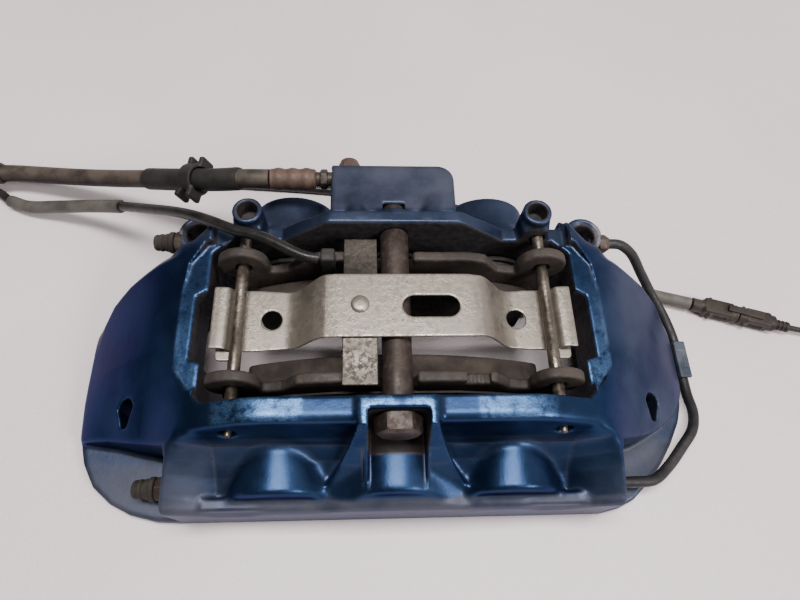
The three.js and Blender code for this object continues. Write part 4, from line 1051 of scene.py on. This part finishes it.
def pins_and_bolt():
    r = PIN_R
    for name, s in (("left", -1), ("right", 1)):
        pin = turned(f"{name}_pin", "y", (s * PIN_X, 0, PIN_Z), [
            (0, -58.6), (0.9, -58.5), (1.6, -57.8), (1.7, -54.6), (1.35, -54.4), (1.35, -53.9),
            (2.0, -53.6), (r - 0.1, -52.6), (r, -38), (r - 0.14, -37.6), (r - 0.14, -30), (r, -29.6),
            (r, -15), (r - 0.1, -14.5), (r - 0.1, 13.5), (r, 14), (r, 25), (r - 0.25, 25.6),
            (r - 0.25, 33.4), (r, 34), (r, 49), (r - 0.5, 49.5), (0, 49.5),
        ], sharp=25)
        fit(pin, f"{name}_pad_pin", "pin")
    head = turned("bolt", "y", (0, 0, BOLT_Z), [
        (0, -59.9), (7.4, -60.0), (8.6, -59.7, 19), (10.2, -58.6, 19), (11.2, -57.6, 19),
        (11.2, -51.6, 19), (10.4, -50.8, 19), (5.8, -50.7), (5.8, 58.8), (5.0, 59.8), (2.0, 60),
        (0, 59.2),
    ], sides=72, sharp=26)
    fit(head, "tie_bolt", "bolt")
    sleeve = turned("spacer", "y", (0, 0, BOLT_Z), [
        (6.1, -43.7), (6.9, -43.7), (7.2, -43.2), (7.2, -31), (7.05, -30), (7.15, -12), (7.2, 18),
        (7.05, 24), (7.2, 30), (7.2, 43.2), (6.9, 43.7), (6.1, 43.7),
    ])
    fit(sleeve, "spacer_sleeve", "bolt")


# ---- hydraulics
def pistons():
    for side, s, face in (("outboard", -1, 37.6), ("inboard", 1, 33.6)):
        for i, (x, z, bore) in enumerate(CYLINDERS, 1):
            profile = [
                (0, 66), (bore - 1, 66), (bore, 65), (bore, face + 6), (bore - 0.5, face + 5.6),
                (bore - 0.5, face + 3.4), (bore, face + 3), (bore, face + 0.8), (bore - 0.8, face),
                (bore - 3.4, face), (bore - 4, face + 0.6), (bore - 4, 60), (bore - 5, 61), (0, 61),
            ]
            made = turned(f"{side}_piston_cup_{i}", "y", (x, 0, z), [(r, s * h) for r, h in profile])
            fit(made, f"{side}_piston_{i}", "piston", f"{side}_piston_{i}_body")


def bleeders():
    for side, x, y, z, stand in (("outboard", -108, -73, 18, 6.5), ("inboard", -114.7, 55.5, 42, 0)):
        near = x - max(stand, 0.3)
        far = x - stand - 5
        threads = 6 if stand else 2
        screw = turned(f"{side}_bleeder_screw", "x", (0, y, z), [
            (0, far - 8), (1.4, far - 8), (1.6, far - 7.6), (3.0, far - 7.4), (3.0, far - 3),
            (2.6, far - 2.4), (2.6, far - 1), (3.0, far - 0.6), (3.0, far), (5.3, far, 11),
            (6.2, far + 0.7, 11), (6.2, near - 0.6, 11), (5.4, near, 11), (3.9, near),
            *ribbed(near + 0.1, x + 1.6, 3.5, 3.9, threads), (3.4, x + 2.4), (0, x + 2.4),
        ], sharp=28, turn=0.3)
        fit(screw, f"{side}_bleed_screw", "fitting", f"{side}_bleeder")
        a = far - 0.3
        cap = turned(f"{side}_rubber_cap", "x", (a, y, z), [
            (0, -11.4), (2.8, -11.4), (3.9, -11), (4.5, -10.2), (4.6, -9.2), (4.2, -8.8),
            (4.2, -8.2), (4.9, -7.8), (4.9, -6.4), (4.4, -6), (4.4, -5.2), (5.1, -4.8),
            (5.2, -3.1), (5.9, -2.6), (6.05, -2), (6.05, -0.4), (5.7, 0), (3.5, 0), (3.5, -8.0),
            (0, -8.2),
        ], sharp=40)
        fit(cap, f"{side}_bleed_cap", "cap", f"{side}_cap")


PIPE_ROUTE = [
    (125.6, 55.5, 42), (132, 55, 42), (140.5, 52.5, 36.5), (150.5, 46, 24), (160.5, 36.5, 12.5),
    (168.5, 23, 6.5), (171.9, 9, 4.6), (172, -10, 4.6), (171.6, -24, 5.6), (171, -35.5, 8.6),
    (166.2, -46, 12.2), (157.5, -56, 12.6), (147.5, -66, 13.4), (137, -73, 15.8), (126, -74, 17),
    (115, -74, 17),
]


def crossover():
    pipe = sweep("pipe", smooth_path(PIPE_ROUTE), 2.9, 18)
    fit(pipe, "crossover_pipe", "pipe")
    for name, node, x, y, z in (
        ("pipe_nut_high", "crossover_nut_inboard", 118.6, 55.5, 42),
        ("pipe_nut_low", "crossover_nut_outboard", 108, -74, 17),
    ):
        nut = turned(name, "x", (x, y, z), [
            (0, -2), (3.9, -2), (3.9, 0.4), (4.7, 0.4, 9.4), (5.3, 1, 9.4), (5.3, 4.4, 9.4),
            (4.8, 5, 9.4), (4.2, 5.4), (3.9, 6.4), (0, 6.4),
        ], sharp=28)
        fit(nut, node, "fitting")
    f = Field((166, -18, -1), (178, 11, 12), 0.4)
    f.box((168.6, -14.8, 1.1), (175.8, 7.8, 9.5), 1.0)
    f.cut(lambda x, y, z: np.hypot(x - 172, z - 4.7) - 3.7 + 0 * y, k=0.3)
    f.cut(lambda x, y, z: box3(x, y, z, (173.4, -11.5, 3.4), (178, 4.5, 7.4), 0.6), k=0.5)
    f.cut(lambda x, y, z: box3(x, y, z, (170, -9, 9.0), (174, 2, 12), 0.5), k=0.4)
    fit(f.mesh("clip"), "pipe_clip", "clip")


def port_fittings():
    x = -33
    y, z = PORT_Y, PORT_Z
    fitting = turned("port_fitting", "x", (x, y, z), [
        (0, -8), (3.9, -8), (3.9, -6.2), (4.6, -6, 9.6), (5.4, -5.4, 9.6), (5.4, -2.6, 9.6),
        (4.6, -2, 9.6), (3.9, -1.8), (3.9, 5), (3.4, 5.5), (0, 5.5),
    ], sharp=28)
    fit(fitting, "hose_port_fitting", "fitting")
    ferrule = turned("ferrule", "x", (x, y, z), [
        (0, -33), (4.9, -33), (5.5, -32.4), *ribbed(-32, -9.6, 5.35, 6.05, 3), (5.4, -9.2), (4.6, -8.3),
        (0, -8.3),
    ], sharp=40)
    fit(ferrule, "hose_ferrule", "ferrule")
    bolt = turned("port_bolt", "y", (-23.5, 0, 66), [
        (0, 73), (2.6, 73), (3.0, 73.6), (3.0, 86.2), (5.2, 86.3, 10), (5.8, 86.9, 10), (5.8, 91.8, 10),
        (5.0, 92.7, 10), (3.6, 92.8), (0, 92.8),
    ], sharp=28)
    fit(bolt, "hose_port_bolt", "ferrule")


def dress_cad():
    """Materials for the CAD pieces that show as they are, deep inside the caliper."""
    looks = {"seal": "rubber", "dust_boot": "rubber", "shim": "plate"}
    for name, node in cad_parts.items():
        for part, look in looks.items():
            if part in name:
                node.data.materials.clear()
                node.data.materials.append(MATS[look])


# ---- floor and light
def floor_material():
    n = Nodes("floor_paint")
    wide, fine = n.noise(2.5, 3), n.noise(900, 2)
    base = n.mix(n.range(wide, 0.3, 0.7), (0.83, 0.735, 0.745), (0.92, 0.83, 0.84))
    sparkle = n.range(n.noise(650, 1), 0.66, 0.7)
    base = n.mix(sparkle, base, (0.95, 0.92, 0.92))
    n.set(Base_Color=base, Roughness=0.5, Metallic=0.0)
    n.bump((fine, 0.25, 0.0005))
    return n.material


# The room is bright on the right and nearly dark on the left: strength at two values of X.
ROOM_X, ROOM_STRENGTH = (-0.6, 1.0), (0.05, 0.75)
ROOM_COLOUR, LIGHT_COLOUR = (1.0, 0.965, 0.98, 1), (1, 0.965, 0.965)
# Name, place, aim, size and power.
LIGHTS = (
    ("top_light", (-0.03, 0.045, 1.3), (-0.03, 0, 0), (0.85, 0.26), 20),
    ("side_light", (0.95, -0.65, 1.0), (0.3, -0.15, 0), (0.4, 0.4), 11),
)


def make_stage():
    bpy.ops.mesh.primitive_plane_add(size=8, location=(0, 0, 0))
    floor = bpy.context.object
    floor.name = "floor"
    floor.data.materials.append(floor_material())
    world = bpy.data.worlds.new("world")
    bpy.context.scene.world = world
    world.use_nodes = True
    nodes, links = world.node_tree.nodes, world.node_tree.links
    background = nodes["Background"]
    background.inputs["Color"].default_value = ROOM_COLOUR
    axes = nodes.new("ShaderNodeSeparateXYZ")
    links.new(nodes.new("ShaderNodeTexCoord").outputs["Generated"], axes.inputs["Vector"])
    glow = nodes.new("ShaderNodeMapRange")
    for socket, value in zip(("From Min", "From Max", "To Min", "To Max"), (*ROOM_X, *ROOM_STRENGTH)):
        glow.inputs[socket].default_value = value
    links.new(axes.outputs["X"], glow.inputs["Value"])
    links.new(glow.outputs["Result"], background.inputs["Strength"])
    for name, place, aim, size, power in LIGHTS:
        data = bpy.data.lights.new(name, "AREA")
        data.shape = "RECTANGLE"
        data.size, data.size_y = size
        data.energy = power
        data.color = LIGHT_COLOUR
        lamp = bpy.data.objects.new(name, data)
        lamp.location = place
        lamp.rotation_euler = (Vector(aim) - Vector(place)).to_track_quat("-Z", "Y").to_euler()
        bpy.context.scene.collection.objects.link(lamp)


def main():
    make_camera()
    make_materials()
    brake_hose()
    sensor_lead()
    connector_tail()
    caliper_body()
    pads()
    cross_spring()
    pins_and_bolt()
    pistons()
    bleeders()
    crossover()
    port_fittings()
    dress_cad()
    make_stage()


main()
